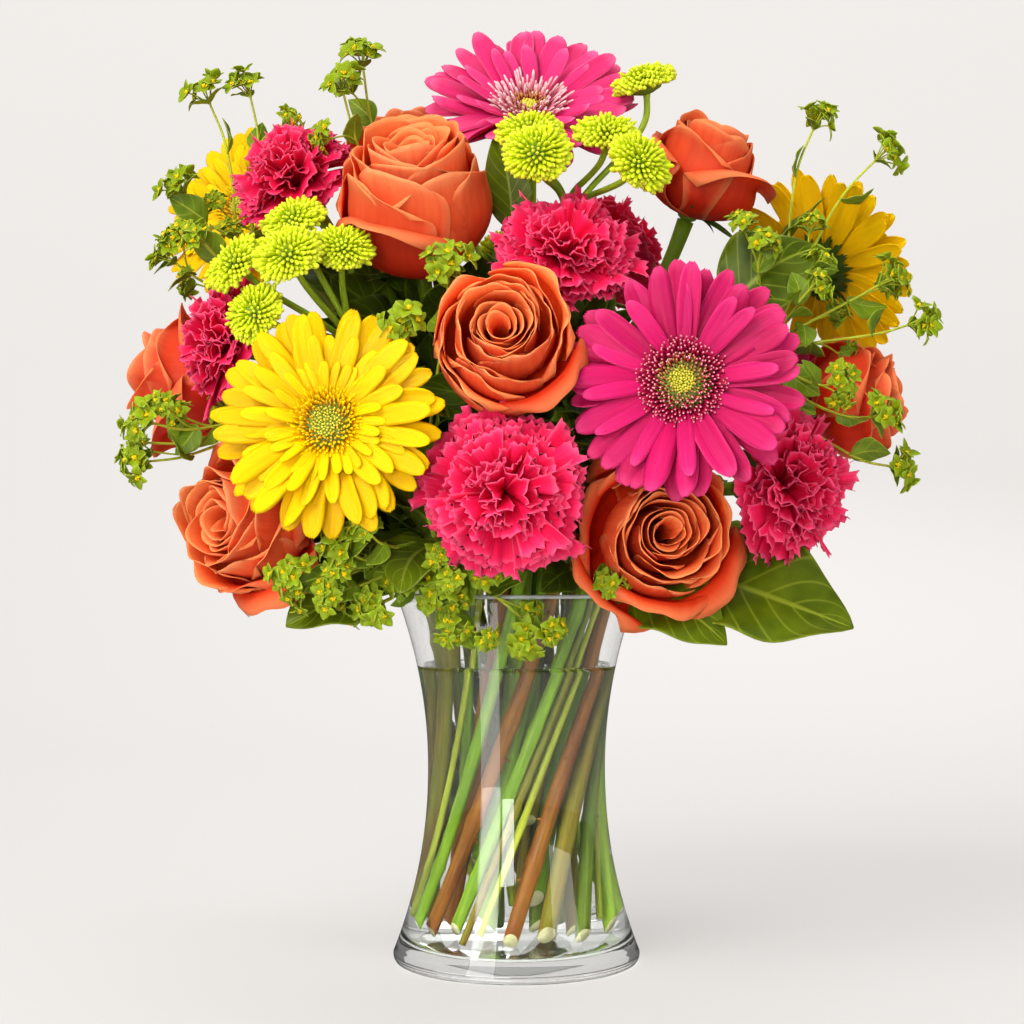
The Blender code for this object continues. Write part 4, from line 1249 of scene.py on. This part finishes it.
def makeVase():
    part = newPart()
    top, foot, half = vaseShape["height"], vaseShape["foot"], vaseShape["wall"] / 2
    rim = vaseShape["mouth"] - half
    bead = [(rim - half * math.cos(a), top - 1.5 + 1.5 * math.sin(a))
            for a in np.linspace(0.3, math.pi - 0.3, 7)]
    outer = [(outerRadius(z), z) for z in np.linspace(top - 1.5, vaseShape["footEdge"], 60)]
    under = [(foot - 0.05, 3.6), (foot - 0.5, 2.0), (foot - 1.4, 0.8), (foot - 3.0, 0.0), (foot - 7, 0.0),
             (foot - 14, 0.7), (20.0, 1.1), (0.0, 1.2)]
    profile = np.array((innerProfile() + bead + outer + under)[::-1]) * mm
    lathe(part, profile, 144, np.zeros(3), np.eye(3))
    # the top of the rim gets a pale, half-opaque finish: a painted highlight along the lip
    for k, face in enumerate(part["faces"]):
        if min(part["co"][0][c][2] for c in face) > (top - 1.7) * mm:
            part["looks"][k] = 1
    lipHighlight, tree, shader = newLook("paleLipHighlight", roughness=0.25, colour=(0.86, 0.9, 0.88), ior=1.5,
                                     gloss=0.5)
    shader.inputs["Transmission Weight"].default_value = 0.55
    place = node(tree, "ShaderNodeTexCoord")
    grain = node(tree, "ShaderNodeTexNoise", Scale=120.0, Detail=2.0)
    tree.links.new(place.outputs["Object"], grain.inputs["Vector"])
    bumped(tree, shader, grain.outputs["Fac"], 0.1)
    clear = glassLook("vaseGlass", 1.5, (0.985, 0.995, 0.99))
    makePiece("vase_glass", part, [clear, lipHighlight], ["vase"])


def glassLook(name, ior, tintColour):
    # clear glass that lets lamps through, with slight waves in its surface
    look, tree, shader = newLook(name, roughness=0.0, colour=tintColour, ior=ior, gloss=0.5)
    shader.inputs["Transmission Weight"].default_value = 1.0
    place = node(tree, "ShaderNodeTexCoord")
    wave = node(tree, "ShaderNodeTexNoise", Scale=9.0, Detail=1.0)
    tree.links.new(place.outputs["Object"], wave.inputs["Vector"])
    bumped(tree, shader, wave.outputs["Fac"], 0.06, 0.002)
    path = node(tree, "ShaderNodeLightPath")
    clear = node(tree, "ShaderNodeBsdfTransparent")
    clear.inputs["Color"].default_value = (0.93, 0.95, 0.94, 1)
    both = node(tree, "ShaderNodeMixShader")
    tree.links.new(path.outputs["Is Shadow Ray"], both.inputs[0])
    tree.links.new(shader.outputs[0], both.inputs[1])
    tree.links.new(clear.outputs[0], both.inputs[2])
    tree.links.new(both.outputs[0], tree.nodes["Material Output"].inputs["Surface"])
    return look


waterShape = dict(rings=46, sides=144, climb=1.6, stemClimb=1.3, overlap=0.25)


def makeWater():
    # the sides bed into the glass; the surface climbs at the glass and at each stem
    level = vaseShape["water"]
    part = newPart()
    wetted = [p for p in innerProfile(-waterShape["overlap"]) if p[1] < level - 2]
    edge = outerRadius(level) - vaseShape["wall"] + waterShape["overlap"]
    radii = edge * np.linspace(0, 1, waterShape["rings"])**0.8
    turn = np.linspace(0, tau, waterShape["sides"], endpoint=False)
    x, y = radii[:, None] * np.cos(turn), radii[:, None] * np.sin(turn)
    slots = [(row[5], stemRadius[row[0]]) for row in flowers.values()]
    slots += [(row[0], pomponShape["stem"]) for row in sprays.values()]
    slots += [(row[0], sprigShape["stem"]) for row in sprigs.values()]
    slots += [(row[0], leafShape["twig"]) for row in twigs.values()]
    z = level + waterShape["climb"] * np.exp(-(edge - radii) / 1.6)[:, None] + 0 * x
    for slot, radius in slots:
        at = slotAt(slot, level)
        away = np.maximum(0, np.hypot(x - at[0], y - at[1]) - radius)
        z = z + waterShape["stemClimb"] * np.exp(-away / 1.3) * (np.hypot(x, y) < edge - 1)
    top = np.stack([x, y, z], -1)
    last = (outerRadius(level - 1) - vaseShape["wall"] + waterShape["overlap"], level - 1)
    side = np.array(wetted + [last])
    wall = np.stack([side[:, :1] * np.cos(turn), side[:, :1] * np.sin(turn),
                     np.repeat(side[:, 1:], len(turn), 1)], -1)
    grid = np.concatenate([wall, top[::-1]]) * mm
    grid[0, :, :2] = 0
    addGrid(part, grid, toneOf(0.5, 0.5, 0.5, 0, *grid.shape[:2]), wrap=True)
    makePiece("vase_water", part, [glassLook("vaseWater", 1.333, (0.975, 0.99, 0.985))], ["water"])


def makeBubbles():
    # beads of air at the waterline and on the stems
    rng = np.random.default_rng(42)
    part = newPart()
    level = vaseShape["water"]
    for k in range(46):
        turn, size = rng.uniform(0, tau), rng.uniform(0.4, 1.1)
        if k < 26:
            reach = (outerRadius(level) - vaseShape["wall"]) - size - rng.uniform(0.2, 2.5)
            spot = np.array([math.cos(turn) * reach, math.sin(turn) * reach, level + 0.3])
        else:
            row = list(flowers.values())[rng.integers(0, len(flowers))]
            z = rng.uniform(60, level - 4)
            at = slotAt(row[5], z)
            spot = at + np.array([math.cos(turn), math.sin(turn), 0]) * (stemRadius[row[0]] + size * 0.6)
        around = np.linspace(0.02, math.pi - 0.02, 7)
        lathe(part, np.stack([np.sin(around), -np.cos(around)], 1) * size * mm, 10, spot * mm, np.eye(3))
    makePiece("vase_bubbles", part, [glassLook("airBead", 1.0 / 1.333, (1.0, 1.0, 1.0))])


makeVase()
makeWater()
makeBubbles()
print("vase and water made")


studio = dict(
    floor=(0.36, 0.355, 0.35),
    floorGlow=(1.0, 0.962, 0.932),
    glowNear=(-0.2, 0.36),
    glowFar=(3.0, 0.675),
    world=(1.0, 0.965, 0.94),
    worldSeen=0.88,  # the backdrop beyond the floor
    worldLight=0.34,
    worldMirrored=0.1,  # a dark room in the glass
    cameraAt=(-0.00225, -1.02, 0.209),
    lens=71.7,
    shiftY=0.0293,
)


def makeFloor():
    # a floor that sweeps up into the backdrop
    part = newPart()
    back = [(-2.2, 0.0), (-1.0, 0.0), (0.0, 0.0), (0.6, 0.0), (1.0, 0.0)]
    back += [(1.0 + 2.2 * math.sin(a), 2.2 - 2.2 * math.cos(a)) for a in np.linspace(0.06, math.pi / 2, 24)]
    back += [(3.2, 2.8), (3.2, 3.6)]
    x = np.linspace(-3, 3, 13)
    grid = np.array([[(a, y, z) for a in x] for y, z in back])
    addGrid(part, grid, toneOf(0.5, 0.5, 0.5, 0, *grid.shape[:2]))
    mesh = bpy.data.meshes.new("studioFloor")
    mesh.from_pydata(part["co"][0], [], part["faces"])
    mesh.polygons.foreach_set("use_smooth", np.full(len(mesh.polygons), True))
    look, tree, shader = newLook("paperFloor", roughness=0.75, colour=studio["floor"])
    place = node(tree, "ShaderNodeTexCoord")
    grain = node(tree, "ShaderNodeTexNoise", Scale=3.0, Detail=3.0)
    tree.links.new(place.outputs["Object"], grain.inputs["Vector"])
    pale = tuple(c * 1.01 for c in studio["floor"])
    dull = tuple(c * 0.985 for c in studio["floor"])
    tree.links.new(mixed(tree, grain.outputs["Fac"], dull, pale), shader.inputs["Base Color"])
    split = node(tree, "ShaderNodeSeparateXYZ")
    tree.links.new(place.outputs["Object"], split.inputs[0])
    (near, least), (far, most) = studio["glowNear"], studio["glowFar"]
    strength = ranged(tree, split.outputs["Y"], near, far, least, most)
    tree.links.new(strength, shader.inputs["Emission Strength"])
    shader.inputs["Emission Color"].default_value = (*studio["floorGlow"], 1)
    mesh.materials.append(look)
    floor = bpy.data.objects.new("studioFloor", mesh)
    floor.visible_glossy = False
    bpy.context.scene.collection.objects.link(floor)


def softbox(name, at, aim, size, power, colour=(1.0, 1.0, 1.0), mirrored=True):
    lamp = bpy.data.lights.new(name, "AREA")
    lamp.shape = "RECTANGLE"
    lamp.size, lamp.size_y = size
    lamp.energy = power
    lamp.color = colour
    box = bpy.data.objects.new(name, lamp)
    box.location = at
    box.visible_glossy = mirrored  # most boxes would veil the glass
    box.rotation_mode = "QUATERNION"
    box.rotation_quaternion = (Vector(at) - Vector(aim)).to_track_quat("Z", "Y")
    bpy.context.scene.collection.objects.link(box)
    return box


def makeStudio():
    middle = (0.0, 0.0, 0.28)
    softbox("keyLight", (-0.9, -1.2, 1.35), middle, (1.05, 1.3), 39, (1.0, 0.985, 0.965), mirrored=False)
    softbox("fillLight", (1.3, -0.9, 0.8), middle, (0.9, 1.2), 9, mirrored=False)
    low = softbox("lowLight", (-0.25, -1.3, 0.2), (0.0, 0.0, 0.1), (0.35, 0.35), 0.5, mirrored=False)
    low.data.spread = math.radians(40)
    softbox("topLight", (0.1, 0.25, 1.7), middle, (1.2, 1.2), 9)
    softbox("backLight", (0.5, 1.7, 1.2), middle, (1.0, 1.0), 7, mirrored=False)
    strip = softbox("stripLight", (-0.62, -0.95, 0.1), (0.0, 0.0, 0.1), (0.5, 2.2), 15)
    strip.visible_diffuse = False  # only its streak on the glass
    world = bpy.data.worlds.new("studioWorld")
    world.use_nodes = True
    tree = world.node_tree
    sky = tree.nodes["Background"]
    sky.inputs["Color"].default_value = (*studio["world"], 1)
    path = node(tree, "ShaderNodeLightPath")
    seen = node(tree, "ShaderNodeMath", operation="MAXIMUM")
    tree.links.new(path.outputs["Is Camera Ray"], seen.inputs[0])
    tree.links.new(path.outputs["Is Transmission Ray"], seen.inputs[1])
    direct = ranged(tree, seen.outputs[0], 0.0, 1.0, studio["worldLight"], studio["worldSeen"])
    dim = node(tree, "ShaderNodeMath", operation="MULTIPLY")
    tree.links.new(direct, dim.inputs[0])
    mirrored = ranged(tree, path.outputs["Is Glossy Ray"], 0.0, 1.0, 1.0,
                      studio["worldMirrored"] / studio["worldLight"])
    tree.links.new(mirrored, dim.inputs[1])
    tree.links.new(dim.outputs[0], sky.inputs["Strength"])
    bpy.context.scene.world = world
    lens = bpy.data.cameras.new("camera")
    lens.lens = studio["lens"]
    lens.sensor_width = 36
    lens.shift_y = studio["shiftY"]
    lens.clip_start, lens.clip_end = 0.05, 20
    camera = bpy.data.objects.new("camera", lens)
    camera.location = studio["cameraAt"]
    camera.rotation_euler = (math.pi / 2, 0, 0)
    bpy.context.scene.collection.objects.link(camera)
    bpy.context.scene.camera = camera


makeFloor()
makeStudio()
bpy.context.scene.view_settings.view_transform = "Standard"
print("studio ready")
